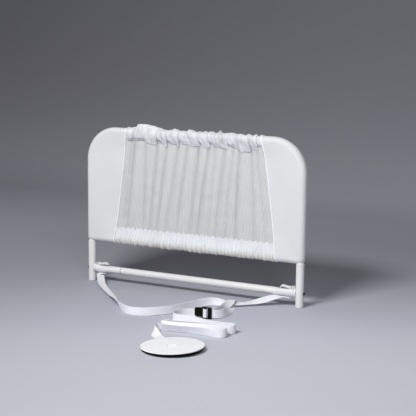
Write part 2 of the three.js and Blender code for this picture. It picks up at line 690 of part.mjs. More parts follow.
function boreRing(share, axis_z, count, way) {
  const points = [];
  for (let i = 0; i < count; i += 1) {
    const angle = Math.PI / 2 - (i / count) * Math.PI * 2;
    const z = axis_z + way * casing.bore_radius * Math.sin(angle);
    points.push(new THREE.Vector3(casingX(share, z), casing.bore_radius * Math.cos(angle), z));
  }
  return points;
}

function gatheredCasing(axis_z, crestAt, lip_z, way) {
  const outer = [];
  const inner = [];
  for (let k = 0; k <= casing.stations; k += 1) {
    const share = k / casing.stations;
    const wave = Math.sin(k * 2.4) * 0.7 + Math.sin(k * 1.1 + 0.8) * 0.5;
    const ring = gatherRing(share, axis_z, crestAt(casingX(share, axis_z)), lip_z, k % casing.stations ? wave : 0);
    outer.push(ring);
    if (k === 0 || k === casing.stations) inner.push(boreRing(share, axis_z, ring.length, way));
  }
  return sleeveLoft(outer, inner);
}

function topCasing() {
  const crest = (x) => top_axis_z + outer_radius + casing.lip + table(ruffle_places, ruffle_heights, x);
  return gatheredCasing(top_axis_z, crest, casing.top_z, 1);
}

function bottomCasing() {
  const crest = (x) => casing.hem_low - table(scallop_places, scallop_drops, x) + clearance;
  return gatheredCasing(lower_bar_height, crest, casing.low_z, -1);
}

function meshCurtain() {
  const front = [];
  const back = [];
  const top = casing.top_z - curtain.seam_gap;
  const low = casing.low_z + curtain.seam_gap;
  const swing_values = fold_place_shares.map((s, i) => (i % 2 ? 1 : -1) * (i % 3 ? 1 : 0.7));
  for (let k = 0; k <= curtain.columns; k += 1) {
    const share = k / curtain.columns;
    const fade = Math.min(1, share / curtain.edge_shares, (1 - share) / curtain.edge_shares);
    const fold = table(fold_place_shares, swing_values, share) * curtain.fold_depth * fade;
    curtain.row_shares.forEach((row, i) => {
      const z = top + (low - top) * row;
      const y = fold * curtain.depth_shares[i];
      const x = casingX(share, z);
      front.push([x, y - curtain.thick / 2, z]);
      back.push([x, y + curtain.thick / 2, z]);
    });
  }
  return sheetBody(front, back, curtain.columns + 1, curtain.row_shares.length);
}

function sheetBody(front, back, columns, rows) {
  const positions = [...front, ...back].flat();
  const offset = front.length;
  const index = [];
  const at = (c, r) => c * rows + r;
  const quad = (a, b, c, d) => index.push(a, b, c, a, c, d);
  for (let c = 0; c < columns - 1; c += 1) {
    for (let r = 0; r < rows - 1; r += 1) {
      quad(at(c, r), at(c + 1, r), at(c + 1, r + 1), at(c, r + 1));
      quad(offset + at(c, r), offset + at(c, r + 1), offset + at(c + 1, r + 1), offset + at(c + 1, r));
    }
    quad(at(c, 0), offset + at(c, 0), offset + at(c + 1, 0), at(c + 1, 0));
    quad(at(c, rows - 1), at(c + 1, rows - 1), offset + at(c + 1, rows - 1), offset + at(c, rows - 1));
  }
  for (let r = 0; r < rows - 1; r += 1) {
    quad(at(0, r), at(0, r + 1), offset + at(0, r + 1), offset + at(0, r));
    const last = columns - 1;
    quad(at(last, r), offset + at(last, r), offset + at(last, r + 1), at(last, r + 1));
  }
  return closedGeometry(positions, index);
}

// The edge cord runs up one face of the fabric, over the top tube, and down the other
function edgeCord(side) {
  const ring_radius = cover.outer_radius[side] - edge_cord.radius / 3;
  const mid_half = edge_cord.radius + clearance / 2;
  const path = [];
  const arc_steps = 8;
  for (let i = 0; i <= arc_steps; i += 1) {
    const angle = Math.PI * (i / arc_steps);
    path.push([-ring_radius * Math.cos(angle), top_axis_z + ring_radius * Math.sin(angle)]);
  }
  path.push([mid_half, casing.top_z], [mid_half, casing.low_z]);
  for (let i = 0; i <= arc_steps; i += 1) {
    const angle = Math.PI * (i / arc_steps);
    path.push([ring_radius * Math.cos(angle), lower_bar_height - ring_radius * Math.sin(angle)]);
  }
  path.push([-mid_half, casing.low_z], [-mid_half, casing.top_z]);
  const points = path.map(([y, z]) => new THREE.Vector3(edgeX(side, z), y, z));
  const lean = new THREE.Vector3(edgeX(side, 1) - edgeX(side, 0), 0, 1).normalize();
  const across = new THREE.Vector3(lean.z, 0, -lean.x);
  const rings = points.map((p, k) => {
    const before = points[(k + points.length - 1) % points.length];
    const after = points[(k + 1) % points.length];
    const ahead = p.clone().sub(before).normalize().add(after.clone().sub(p).normalize()).normalize();
    const normal = ahead.clone().cross(across).normalize();
    const bend = ahead.dot(after.clone().sub(p).normalize());
    return ringPoints(edge_cord.radius, edge_cord.sides).map((q) => (
      p.clone().addScaledVector(across, q.x).addScaledVector(normal, q.y / Math.max(bend, 0.6))
    ));
  });
  return loft(rings, true);
}

// Straps

function smoothRoute(rows) {
  const frames = rows.map((row, i) => {
    const point = new THREE.Vector3(row[0], row[1], row[2]);
    const before = rows[Math.max(i - 1, 0)];
    const after = rows[Math.min(i + 1, rows.length - 1)];
    const ahead = new THREE.Vector3(after[0] - before[0], after[1] - before[1], after[2] - before[2]).normalize();
    if (row.length > 4) return { point, width: new THREE.Vector3(row[4], row[5], row[6]) };
    const flat = new THREE.Vector3(0, 0, 1).cross(ahead).normalize();
    const upright = ahead.clone().cross(flat);
    const lean = rad(row[3]);
    return { point, width: flat.multiplyScalar(Math.cos(lean)).addScaledVector(upright, Math.sin(lean)) };
  });
  const line = new THREE.CatmullRomCurve3(frames.map((f) => f.point), false, 'centripetal');
  const places = [0];
  const spans = rows.length - 1;
  for (let k = 0; k < spans; k += 1) {
    const steps = Math.max(1, Math.round(frames[k].point.distanceTo(frames[k + 1].point) / strap_step));
    for (let i = 1; i <= steps; i += 1) places.push((k + i / steps) / spans);
  }
  return places.map((t) => {
    const place = t * (frames.length - 1);
    const low = Math.min(Math.floor(place), frames.length - 2);
    const width = frames[low].width.clone().lerp(frames[low + 1].width, place - low).normalize();
    const point = line.getPoint(t);
    const ahead = line.getTangent(t);
    width.addScaledVector(ahead, -width.dot(ahead)).normalize();
    return { point, width, normal: ahead.clone().cross(width).normalize() };
  });
}

function strapRings(frames) {
  const w = webbing_width / 2;
  const t = webbing_thick / 2;
  return frames.map(({ point, width, normal }) => [[w, t], [-w, t], [-w, -t], [w, -t]].map(([a, b]) => (
    point.clone().addScaledVector(width, a).addScaledVector(normal, b)
  )));
}

function strap(frames) {
  return loft(strapRings(frames));
}

// Least free space between two stretches of a strap that lie further apart along it than it is wide
function leastGap(frames) {
  let least = Infinity;
  const along = [0];
  for (let i = 1; i < frames.length; i += 1) {
    along.push(along[i - 1] + frames[i].point.distanceTo(frames[i - 1].point));
  }
  for (let i = 0; i < frames.length; i += 1) {
    for (let j = i + 1; j < frames.length; j += 1) {
      if (along[j] - along[i] < webbing_width) continue;
      for (const a of [-1, 0, 1]) {
        for (const b of [-1, 0, 1]) {
          const p = frames[i].point.clone().addScaledVector(frames[i].width, (a * webbing_width) / 2);
          const q = frames[j].point.clone().addScaledVector(frames[j].width, (b * webbing_width) / 2);
          least = Math.min(least, p.distanceTo(q) - webbing_thick);
        }
      }
    }
  }
  return least;
}

function rivetTool(sign) {
  return rodBetween(
    new THREE.Vector3(sign * rivet.x, 0, 0), new THREE.Vector3(sign * rivet.x, 0, cross_tube_height),
    rivet.shank_radius + clearance, small_faces,
  );
}

function strapRivet(sign) {
  const face = rivet.strap_z - webbing_thick / 2 - clearance * 1.5;
  const top = sign > 0 ? rivet.strap_z + rivet.bore_depth - clearance * 2 : rivet.strap_z + webbing_thick / 2;
  const whole = turnedAboutZ([
    [0, face - rivet.head_thick], [rivet.head_radius * 0.6, face - rivet.head_thick],
    [rivet.head_radius, face - rivet.head_thick * 0.4], [rivet.head_radius, face],
    [rivet.shank_radius, face], [rivet.shank_radius, top], [0, top],
  ], small_faces);
  return whole.translate(sign * rivet.x, 0, 0);
}

// Disc: its own frame has the pad's underside at zero, the plate above, and a small tilt

function discMatrix() {
  const tilt = rad(disc.tilt_degrees);
  const lift = disc.lift + disc.pad_radius * Math.sin(tilt);
  return new THREE.Matrix4().makeRotationY(-tilt).setPosition(disc.x, disc.y, lift);
}

function discPad() {
  const body = turnedAboutZ([
    [0, 0], [disc.pad_radius - disc.rim_round, 0], [disc.pad_radius, disc.rim_round],
    [disc.pad_radius, disc.pad_thick - disc.rim_round / 2],
    [disc.pad_radius - disc.rim_round / 2, disc.pad_thick], [0, disc.pad_thick],
  ], disc.faces);
  const channel = block(
    [-disc.radius * 2, -disc.channel_half, disc.pad_thick - disc.channel_depth],
    [disc.pocket_half, disc.channel_half, disc.pad_thick * 2],
  );
  channel.rotateZ(rad(disc.strap_angle_degrees));
  return cut(body, channel).applyMatrix4(discMatrix());
}

function discPlate() {
  const low = disc.pad_thick + clearance;
  const high = low + disc.thick;
  const body = turnedAboutZ([
    [0, low], [disc.radius - disc.rim_round, low], [disc.radius, low + disc.rim_round],
    [disc.radius, high - disc.rim_round], [disc.radius - disc.rim_round, high], [0, high],
  ], disc.faces);
  const slots = [1, -1].map((way) => {
    const middle = way * (disc.bar_width / 2 + disc.slot_width / 2);
    const slot = block(
      [middle - disc.slot_width / 2, -disc.slot_length / 2, low - disc.thick],
      [middle + disc.slot_width / 2, disc.slot_length / 2, high + disc.thick],
    );
    return slot.rotateZ(rad(disc.strap_angle_degrees));
  });
  return cut(body, ...slots).applyMatrix4(discMatrix());
}

function tailFrames() {
  const turn = new THREE.Matrix4().makeRotationZ(rad(disc.strap_angle_degrees));
  const whole = discMatrix().multiply(turn);
  const across = new THREE.Vector3(0, 1, 0).transformDirection(whole);
  const rows = tail_disc_route.map(([along, up]) => {
    const p = new THREE.Vector3(along, 0, up).applyMatrix4(whole);
    return [p.x, p.y, p.z, 0, across.x, across.y, across.z];
  });
  return smoothRoute([...tail_route, ...rows]);
}

function buckleBody() {
  const b = buckle;
  const span = b.right_x - b.left_x;
  const plate_bevel = b.bevel * 5;
  const outline = [
    [b.left_x, b.plate_low + plate_bevel], [b.left_x + plate_bevel, b.plate_low], [b.plate_x - plate_bevel, b.plate_low],
    [b.plate_x, b.low_z + b.bevel], [b.plate_x + b.bevel, b.low_z], [b.right_x - b.bevel, b.low_z],
    [b.right_x, b.low_z + b.bevel], [b.right_x, b.high_z - b.bevel], [b.right_x - b.bevel, b.high_z],
    [b.plate_x + b.bevel, b.high_z], [b.plate_x, b.high_z - b.bevel], [b.plate_x - plate_bevel, b.plate_high],
    [b.left_x + plate_bevel, b.plate_high], [b.left_x, b.plate_high - plate_bevel],
  ];
  const body = sideExtrude(outline, b.thick / 2);
  const windows = [[b.plate_x, b.bar_left_x], [b.bar_right_x, b.end_bar_x]].map(([low, high]) => (
    block([low, -b.thick * 2, b.window_low], [high, b.thick * 2, b.window_high])
  ));
  const whole = cut(body, ...windows);
  const turn = Math.atan2(b.right_y - b.left_y, span);
  const middle = (b.left_x + b.right_x) / 2;
  whole.translate(-middle, 0, 0).rotateZ(turn);
  return whole.translate(middle, (b.left_y + b.right_y) / 2, 0);
}

// Assembly

const white_paint = 0xf2f2f0, white_plastic = 0xe9e9ea, dark_steel = 0x26272a, steel = 0xb9bcc0;
const fabric_white = 0xf4f5fb, net_white = 0xe3e5e4, webbing_white = 0xefeff4, black_plastic = 0x101012;
const pad_black = 0x0b0b0c, disc_white = 0xf6f6fa;

function build() {
  const group = new THREE.Group();
  group.name = 'folding_bed_guard_rail';
  const add = (...args) => group.add(mesh(...args));
  const sides = [['right', 1, outer_radius, tubes.outer_end_x], ['left', -1, inner_radius, tubes.inner_end_x]];
  for (const [side, sign, radius, end_x] of sides) {
    add(`${side}_frame_tube`, hollowTube(frameStations(sign, end_x), radius, radius - tube_wall), white_paint, 0.4);
    add(`${side}_lower_bar`, lowerBar(sign, radius, end_x), white_paint, 0.4);
    add(`${side}_leg_sleeve`, legSleeve(sign), white_paint, 0.4);
    add(`${side}_foot_cap`, footCap(sign), white_plastic, 0.6);
    add(`${side}_leg_cuff`, legCuff(sign, radius), white_plastic, 0.6);
    add(`${side}_hinge_fitting`, hingeFitting(sign), white_plastic, 0.5);
    add(`${side}_hinge_saddle`, hingeSaddle(sign), white_plastic, 0.5);
    add(`${side}_latch_lever`, latchLever(sign), white_plastic, 0.5);
    add(`${side}_latch_pin`, latchPin(sign), steel, 0.35, 1);
    add(`${side}_latch_spring`, latchSpring(sign), steel, 0.35, 1);
    add(`${side}_pivot_bolt`, pivotBolt(sign), dark_steel, 0.45, 1);
    add(`${side}_end_cover`, endCover(side), fabric_white, 0.9);
    add(`${side}_edge_cord`, edgeCord(side), fabric_white, 0.9);
    add(`${side}_strap_rivet`, strapRivet(sign), steel, 0.35, 1);
  }
  const axis = (x) => new THREE.Vector3(x, 0, cross_tube_height);
  const crossTube = (start_x, end_x, radius) => hollowTube([axis(start_x), axis(end_x)], radius, radius - tube_wall);
  const outer_cross = crossTube(cross.outer_end_x, cross.outer_start_x, outer_radius);
  const inner_cross = crossTube(cross.inner_start_x, cross.inner_end_x, inner_radius);
  add('outer_cross_tube', outer_cross, white_paint, 0.4);
  add('inner_cross_tube', inner_cross, white_paint, 0.4);
  add('top_casing', topCasing(), fabric_white, 0.9);
  add('bottom_casing', bottomCasing(), fabric_white, 0.9);
  add('mesh_curtain', meshCurtain(), net_white, 0.9);
  const fromRivet = ([x, y, up, ...rest]) => [x, y, strap_z + up, ...rest];
  const bridle = smoothRoute([...bridle_left_end.map(fromRivet), ...bridle_middle, ...bridle_right_end.map(fromRivet)]);
  const loop = smoothRoute(loop_route);
  const bundle = smoothRoute(bundle_route);
  const tail = tailFrames();
  add('bridle_strap', cut(strap(bridle), rivetTool(1), rivetTool(-1)), webbing_white, 0.85);
  add('anchor_strap_loop', strap(loop), webbing_white, 0.85);
  add('anchor_strap_bundle', strap(bundle), webbing_white, 0.85);
  add('anchor_strap_tail', strap(tail), webbing_white, 0.85);
  add('strap_buckle', buckleBody(), black_plastic, 0.4);
  add('disc_plate', discPlate(), disc_white, 0.35);
  add('disc_pad', discPad(), pad_black, 0.9);
  console.log('least gap of the folded bundle to itself', leastGap(bundle).toFixed(2), 'mm');
  console.log('least gap of the loop to itself', leastGap(loop).toFixed(2), 'mm');
  return group;
}

export default build();
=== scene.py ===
import bmesh, bpy, math
import numpy as np
from mathutils import Matrix, Vector


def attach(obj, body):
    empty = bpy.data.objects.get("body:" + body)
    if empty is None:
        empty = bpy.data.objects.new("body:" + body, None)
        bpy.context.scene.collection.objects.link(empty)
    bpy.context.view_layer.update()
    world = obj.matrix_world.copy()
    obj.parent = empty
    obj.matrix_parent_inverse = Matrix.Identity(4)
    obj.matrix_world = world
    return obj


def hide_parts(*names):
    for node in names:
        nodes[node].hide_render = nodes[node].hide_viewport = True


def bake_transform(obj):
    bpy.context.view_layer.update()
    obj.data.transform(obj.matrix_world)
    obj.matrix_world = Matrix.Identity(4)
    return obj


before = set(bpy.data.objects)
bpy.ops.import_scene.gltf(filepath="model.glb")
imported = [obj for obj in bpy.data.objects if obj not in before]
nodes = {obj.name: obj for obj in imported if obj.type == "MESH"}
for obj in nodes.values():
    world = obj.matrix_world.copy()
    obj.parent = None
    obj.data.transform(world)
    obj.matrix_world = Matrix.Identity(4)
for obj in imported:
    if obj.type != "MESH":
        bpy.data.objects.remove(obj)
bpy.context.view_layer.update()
scene = bpy.context.scene
scene.view_settings.view_transform = "Standard"
TAU = 2 * math.pi

# Sizes, in metres, as in the part's source
leg_x = 0.37175
corner_radius = 0.0943
top_axis_z = 0.496
lower_bar_z = 0.148
cross_z = 0.043
outer_radius, inner_radius, wall = 0.011, 0.0095, 0.0012
sleeve_radius, sleeve_low, sleeve_high = 0.0125, 0.0063, 0.129
webbing_width, webbing_thick = 0.025, 0.0015
cord_radius = 0.0015
cord_gap = cord_radius + 0.0003
cover_radius = {"left": 0.0122, "right": 0.0137}
# The seams between covers and net, up to 5.5 mm from the solids' seams: places along x at the
# two heights of edge_z
edge_line = {"left": (-0.2336, -0.2812), "right": (0.2423, 0.2934)}
edge_z = (0.512, 0.1427)
# Where the open net begins below the top casing and ends above the bottom one
casing_low_edge, hem_high_edge = 0.461, 0.189


# Camera
camera_turn, camera_pitch, camera_roll = math.radians(28.0), math.radians(9.176), math.radians(0.567)
camera_at = (1.7462, -3.1766, 0.8576)
sensor_width, focal_pixels, photo_pixels = 36, 1177.63, 416
near_clip, far_clip = 0.1, 60


def make_camera():
    level = math.cos(camera_pitch)
    ahead = Vector((-math.sin(camera_turn) * level, math.cos(camera_turn) * level, -math.sin(camera_pitch)))
    right = Vector((math.cos(camera_turn), math.sin(camera_turn), 0))
    up = right.cross(ahead)
    across = right * math.cos(camera_roll) + up * math.sin(camera_roll)
    upward = up * math.cos(camera_roll) - right * math.sin(camera_roll)
    turn = Matrix((across, upward, -ahead)).transposed()
    data = bpy.data.cameras.new("photo_camera")
    data.sensor_width = sensor_width
    data.lens = sensor_width * focal_pixels / photo_pixels
    data.clip_start, data.clip_end = near_clip, far_clip
    camera = bpy.data.objects.new("photo_camera", data)
    camera.matrix_world = Matrix.Translation(camera_at) @ turn.to_4x4()
    scene.collection.objects.link(camera)
    scene.camera = camera


make_camera()


# Materials
class Graph:
    """Adds, fills and links the nodes of one tree."""

    def add(self, kind, **values):
        node = self.tree.nodes.new(kind)
        for key, value in values.items():
            setattr(node, key, value)
        return node

    def set(self, node, **values):
        for key, value in values.items():
            node.inputs[key.replace("_", " ")].default_value = value
        return node

    def link(self, source, target):
        self.tree.links.new(source, target)


class Nodes(Graph):
    """One material's node tree."""

    def __init__(self, name):
        self.material = bpy.data.materials.new(name)
        self.material.use_nodes = True
        self.tree = self.material.node_tree
        self.shader = self.tree.nodes["Principled BSDF"]

    def math(self, operation, *values):
        """A sum on numbers and outputs of other nodes."""
        node = self.add("ShaderNodeMath", operation=operation)
        for i, value in enumerate(values):
            if isinstance(value, (int, float)):
                node.inputs[i].default_value = value
            else:
                self.link(value, node.inputs[i])
        return node.outputs[0]

    def ramp(self, value, stops):
        node = self.add("ShaderNodeValToRGB")
        elements = node.color_ramp.elements
        while len(elements) < len(stops):
            elements.new(0.5)
        for element, (place, color) in zip(elements, stops):
            element.position = place
            element.color = (*color, 1)
        self.link(value, node.inputs[0])
        return node.outputs[0]

    def noise(self, vector, scale, detail=3.0):
        node = self.add("ShaderNodeTexNoise")
        self.set(node, Scale=scale, Detail=detail, Roughness=0.55)
        self.link(vector, node.inputs["Vector"])
        return node.outputs["Fac"]

    def place(self):
        """The piece's own place, in metres."""
        return self.add("ShaderNodeTexCoord").outputs["Object"]

    def cloth(self):
        """The cloth's own map, in metres: across it and along it."""
        return self.split(self.add("ShaderNodeUVMap", uv_map="cloth").outputs["UV"])[:2]

    def split(self, vector):
        node = self.add("ShaderNodeSeparateXYZ")
        self.link(vector, node.inputs[0])
        return node.outputs

    def bump(self, height, strength, distance):
        node = self.add("ShaderNodeBump")
        self.set(node, Strength=strength, Distance=distance)
        self.link(height, node.inputs["Height"])
        return node.outputs["Normal"]

    def span(self, value, low, high, first, last, way="LINEAR"):
        """A value between low and high, spread from first to last."""
        node = self.add("ShaderNodeMapRange", interpolation_type=way)
        self.set(node, From_Min=low, From_Max=high, To_Min=first, To_Max=last)
        self.link(value, node.inputs["Value"])
        return node.outputs[0]

    def mark(self, name):
        """A value stored on the piece's own points."""
        return self.add("ShaderNodeAttribute", attribute_name=name).outputs["Fac"]

    def scaled(self, color, amount):
        node = self.add("ShaderNodeVectorMath", operation="SCALE")
        self.link(color, node.inputs[0])
        self.link(amount, node.inputs["Scale"])
        return node.outputs[0]

    def shaded(self, color, amount=0.32):
        """Painted shade: darker in the creases."""
        return self.scaled(color, self.math("MULTIPLY_ADD", self.mark("crease"), -amount, 1.0))

    def shaded_under(self, color, under_shade=(0.61, 0.595, 0.54)):
        """Painted shade: darker and warmer underneath."""
        node = self.add("ShaderNodeMix", data_type="RGBA")
        self.link(self.mark("under"), node.inputs[0])
        self.link(color, node.inputs[6])
        node.inputs[7].default_value = (*under_shade, 1)
        return node.outputs[2]

    def feed(self, **sources):
        """Links outputs to the shader's inputs of these names."""
        for key, source in sources.items():
            self.link(source, self.shader.inputs[key.replace("_", " ")])

    def finish(self, **values):
        self.set(self.shader, **values)
        return self.material


def painted_tube():
    n = Nodes("white_powder_coat")
    broad = n.noise(n.place(), 9.0, 2.0)
    fine = n.noise(n.place(), 900.0, 2.0)
    n.feed(Base_Color=n.ramp(broad, [(0.3, (0.77, 0.77, 0.765)), (0.7, (0.83, 0.83, 0.825))]),
           Roughness=n.math("MULTIPLY_ADD", broad, 0.12, 0.3), Normal=n.bump(fine, 0.12, 0.0004))
    return n.finish(Specular_IOR_Level=0.45)


def moulded(name, low, high, roughness, grain=0.15, scale=1400.0, shine=0.5):
    n = Nodes(name)
    broad = n.noise(n.place(), 14.0)
    n.feed(Base_Color=n.ramp(broad, [(0.3, low), (0.7, high)]),
           Roughness=n.math("MULTIPLY_ADD", n.noise(n.place(), 60.0), 0.14, roughness),
           Normal=n.bump(n.noise(n.place(), scale, 2.0), grain, 0.0003))
    return n.finish(Specular_IOR_Level=shine)


def steel(name, color, roughness):
    n = Nodes(name)
    streak = n.add("ShaderNodeMapping")
    n.set(streak, Scale=(40, 40, 900))
    n.link(n.place(), streak.inputs["Vector"])
    grain = n.noise(streak.outputs[0], 8.0, 4.0)
    darker = tuple(c * 0.85 for c in color)
    n.feed(Base_Color=n.ramp(grain, [(0.3, darker), (0.7, color)]), Normal=n.bump(grain, 0.1, 0.0002))
    return n.finish(Metallic=1.0, Roughness=roughness)


def woven(name, low, high, pitch, depth):
    """A plain weave on the cloth's own map, with painted shade: darker in the creases, and darker and warmer
    underneath.
    """
    n = Nodes(name)
    u, v = n.cloth()
    across = n.math("SINE", n.math("MULTIPLY", u, TAU / pitch))
    along = n.math("SINE", n.math("MULTIPLY", v, TAU / pitch))
    threads = n.math("MULTIPLY", across, along)
    slub = n.noise(n.place(), 300.0)
    height = n.math("ADD", n.math("MULTIPLY", threads, 0.35), n.math("MULTIPLY", slub, 0.8))
    cloudy = n.noise(n.place(), 18.0, 4.0)
    tone = n.math("ADD", n.math("MULTIPLY", cloudy, 0.8), n.math("MULTIPLY", threads, 0.06))
    plain = n.ramp(tone, [(0.15, low), (0.6, high)])
    n.feed(Base_Color=n.shaded(n.shaded_under(plain)), Normal=n.bump(height, 0.35, depth))
    return n.finish(Roughness=0.8, Sheen_Weight=0.3, Sheen_Roughness=0.5)


def netting(pitch=0.0046):
    """A fine six-sided net: three waves at 120 degrees leave round holes between the threads."""
    n = Nodes("curtain_net")
    u, v = n.cloth()
    half = n.math("MULTIPLY", u, -0.5)
    lift = n.math("MULTIPLY", v, math.sqrt(3) / 2)
    ways = (u, n.math("ADD", half, lift), n.math("SUBTRACT", half, lift))
    waves = [n.math("COSINE", n.math("MULTIPLY", way, TAU / pitch)) for way in ways]
    total = n.math("ADD", n.math("ADD", waves[0], waves[1]), waves[2])
    cloudy = n.noise(n.place(), 30.0)
    plain = n.ramp(cloudy, [(0.3, (0.63, 0.64, 0.64)), (0.7, (0.69, 0.70, 0.70))])
    # Painted shade: the net's colour is darker along its folds
    n.feed(Base_Color=n.shaded(plain, 0.26), Alpha=n.span(total, 0.95, 0.30, 0.56, 1.0, "SMOOTHSTEP"),
           Normal=n.bump(total, 0.5, -0.0004))
    return n.finish(Roughness=0.75, Sheen_Weight=0.2)


def webbing_cloth():
    """Flat polyester webbing: slanted ribs that turn back and forth across it, and lanes along it."""
    n = Nodes("white_webbing")
    u, v = n.cloth()
    folded = n.math("ABSOLUTE", n.math("SUBTRACT", n.math("FRACT", n.math("DIVIDE", u, 0.0062)), 0.5))
    slanted = n.math("ADD", v, n.math("MULTIPLY", folded, 0.004))
    ribs = n.math("SINE", n.math("MULTIPLY", slanted, TAU / 0.0013))
    lanes = n.math("SINE", n.math("MULTIPLY", u, TAU / 0.0031))
    fibre = n.noise(n.place(), 900.0)
    relief = n.math("ADD", n.math("MULTIPLY", ribs, 0.5), n.math("MULTIPLY", lanes, 0.35))
    tone = n.math("ADD", n.math("MULTIPLY", ribs, 0.12), n.noise(n.place(), 45.0))
    n.feed(Base_Color=n.ramp(tone, [(0.3, (0.84, 0.835, 0.89)), (0.7, (0.90, 0.895, 0.95))]),
           Normal=n.bump(n.math("ADD", relief, fibre), 0.5, 0.00022))
    return n.finish(Roughness=0.72, Sheen_Weight=0.3)


def foam():
    n = Nodes("pad_foam")
    cells = n.set(n.add("ShaderNodeTexVoronoi"), Scale=900.0)
    n.link(n.place(), cells.inputs["Vector"])
    depth = cells.outputs["Distance"]
    n.feed(Base_Color=n.ramp(depth, [(0.0, (0.002, 0.002, 0.0025)), (0.6, (0.005, 0.005, 0.006))]),
           Normal=n.bump(depth, 0.5, -0.0004))
    return n.finish(Roughness=0.9, Specular_IOR_Level=0.15)


paint = painted_tube()
white_plastic = moulded("white_hinge_plastic", (0.76, 0.76, 0.77), (0.82, 0.82, 0.83), 0.42)
disc_plastic = moulded("white_disc_plastic", (0.90, 0.905, 0.935), (0.93, 0.935, 0.96), 0.18, 0.04, 500.0)
black_plastic = moulded(
    "black_buckle_plastic", (0.003, 0.003, 0.004), (0.006, 0.006, 0.007), 0.38, 0.1, shine=0.12)
# A dark grey material for painted shade: the shadowed gap at the joint of the cross tubes
joint_shade_plastic = moulded("joint_shade_grey", (0.10, 0.10, 0.105), (0.15, 0.15, 0.155), 0.5)
pin_steel = steel("pin_steel", (0.62, 0.63, 0.65), 0.32)
bolt_steel = steel("blackened_steel", (0.05, 0.05, 0.055), 0.45)
panel_cloth = woven("panel_fabric", (0.68, 0.685, 0.70), (0.71, 0.715, 0.73), 0.0006, 0.00012)
casing_cloth = woven("casing_fabric", (0.67, 0.69, 0.725), (0.76, 0.78, 0.815), 0.0006, 0.00012)
trim_cloth = woven("trim_fabric", (0.84, 0.84, 0.88), (0.9, 0.9, 0.94), 0.0005, 0.0001)
net = netting()
webbing = webbing_cloth()
pad_black = foam()


# Meshes from points
def unit(rows):
    """The same directions at length 1."""
    return rows / np.linalg.norm(rows, axis=1)[:, None]


def lengths_along(points):
    """Metres along a line of points, from 0 at the first."""
    return np.concatenate([[0], np.cumsum(np.linalg.norm(np.diff(points, axis=0), axis=1))])


def smoothed(mesh, sharp=None):
    """Smooth shading, with sharp edges over an angle in degrees where one is given."""
    mesh.polygons.foreach_set("use_smooth", [True] * len(mesh.polygons))
    if sharp:
        mesh.set_sharp_from_angle(angle=math.radians(sharp))


def only_material(mesh, material):
    mesh.materials.clear()
    mesh.materials.append(material)


def make_piece(name, points, faces, material, body, uvs=None, sharp=35.0):
    mesh = bpy.data.meshes.new(name)
    mesh.from_pydata([tuple(map(float, p)) for p in points], [], [tuple(f) for f in faces])
    if uvs is not None:
        layer = mesh.uv_layers.new(name="cloth")
        layer.data.foreach_set("uv", np.asarray(uvs, np.float32).ravel())
    mesh.materials.append(material)
    mesh.validate()
    smoothed(mesh, sharp)
    obj = bpy.data.objects.new(name, mesh)
    scene.collection.objects.link(obj)
    if body:
        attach(obj, body)
    return obj


def grid_faces(columns, rows, closed_rows=False, closed_columns=False):
    faces = []
    for c in range(columns if closed_columns else columns - 1):
        for r in range(rows if closed_rows else rows - 1):
            c2, r2 = (c + 1) % columns, (r + 1) % rows
            faces.append((c * rows + r, c2 * rows + r, c2 * rows + r2, c * rows + r2))
    return faces


def outward(points, faces):
    """Turns all the faces round if the closed shape's volume is negative."""
    p = np.asarray(points)
    total = 0.0
    for f in faces:
        for i in range(1, len(f) - 1):
            total += float(np.dot(p[f[0]], np.cross(p[f[i]], p[f[i + 1]])))
    return faces if total >= 0 else [tuple(reversed(f)) for f in faces]


def lofted(name, rings, material, body, closed=False, sharp=35.0):
    """Closed body through rings of equal length. Its map runs round the ring and along it, in metres."""
    rings = np.asarray(rings, float)
    count, size = rings.shape[:2]
    faces = grid_faces(count, size, True, closed)
    points = rings.reshape(-1, 3)
    if not closed:
        faces += [tuple(range(size)), tuple((count - 1) * size + i for i in reversed(range(size)))]
    turned = outward(points, faces)
    along = lengths_along(rings.mean(1))
    around = lengths_along(np.vstack([rings[0], rings[0, :1]]))
    closing = 2 * along[-1] - along[-2]
    uvs = []
    for f in turned:
        ks, js = [i // size for i in f], [i % size for i in f]
        wrap = max(js) - min(js) > size // 2
        wrap_k = closed and max(ks) - min(ks) > count // 2
        for k, j in zip(ks, js):
            jj = size if wrap and j == 0 else j
            kk = closing if wrap_k and k == 0 else along[k]
            uvs.append((around[jj], kk))
    return make_piece(name, points, turned, material, body, uvs, sharp)


def circle(radius, faces):
    a = np.arange(faces) / faces * TAU
    return np.stack([radius * np.cos(a), radius * np.sin(a)], -1)


def path_frames(path, side):
    """Tangents and two cross directions along a path that stays in the plane across `side`."""
    ahead = unit(np.gradient(path, axis=0))
    first = np.tile(np.asarray(side, float), (len(path), 1))
    return ahead, first, unit(np.cross(ahead, first))


def hollow_tube(name, path, radius, bore, material, body, faces=48, lip=0.0003, side=(0, 1, 0)):
    """A tube with rounded rims: the profile goes out along the outside and back along the bore."""
    path = np.asarray(path, float)
    ahead, first, second = path_frames(path, side)
    ring = circle(1.0, faces)
    rings = []

    def add(i, r, shift):
        centre = path[i] + ahead[i] * shift
        rings.append(centre + first[i] * (ring[:, :1] * r) + second[i] * (ring[:, 1:] * r))

    add(0, radius - lip, 0)
    for i in range(len(path)):
        add(i, radius, lip if i == 0 else -lip if i == len(path) - 1 else 0)
    add(-1, radius - lip, 0)
    add(-1, bore + lip, 0)
    for i in reversed(range(len(path))):
        add(i, bore, lip if i == 0 else -lip if i == len(path) - 1 else 0)
    add(0, bore + lip, 0)
    return lofted(name, rings, material, body, closed=True, sharp=40)


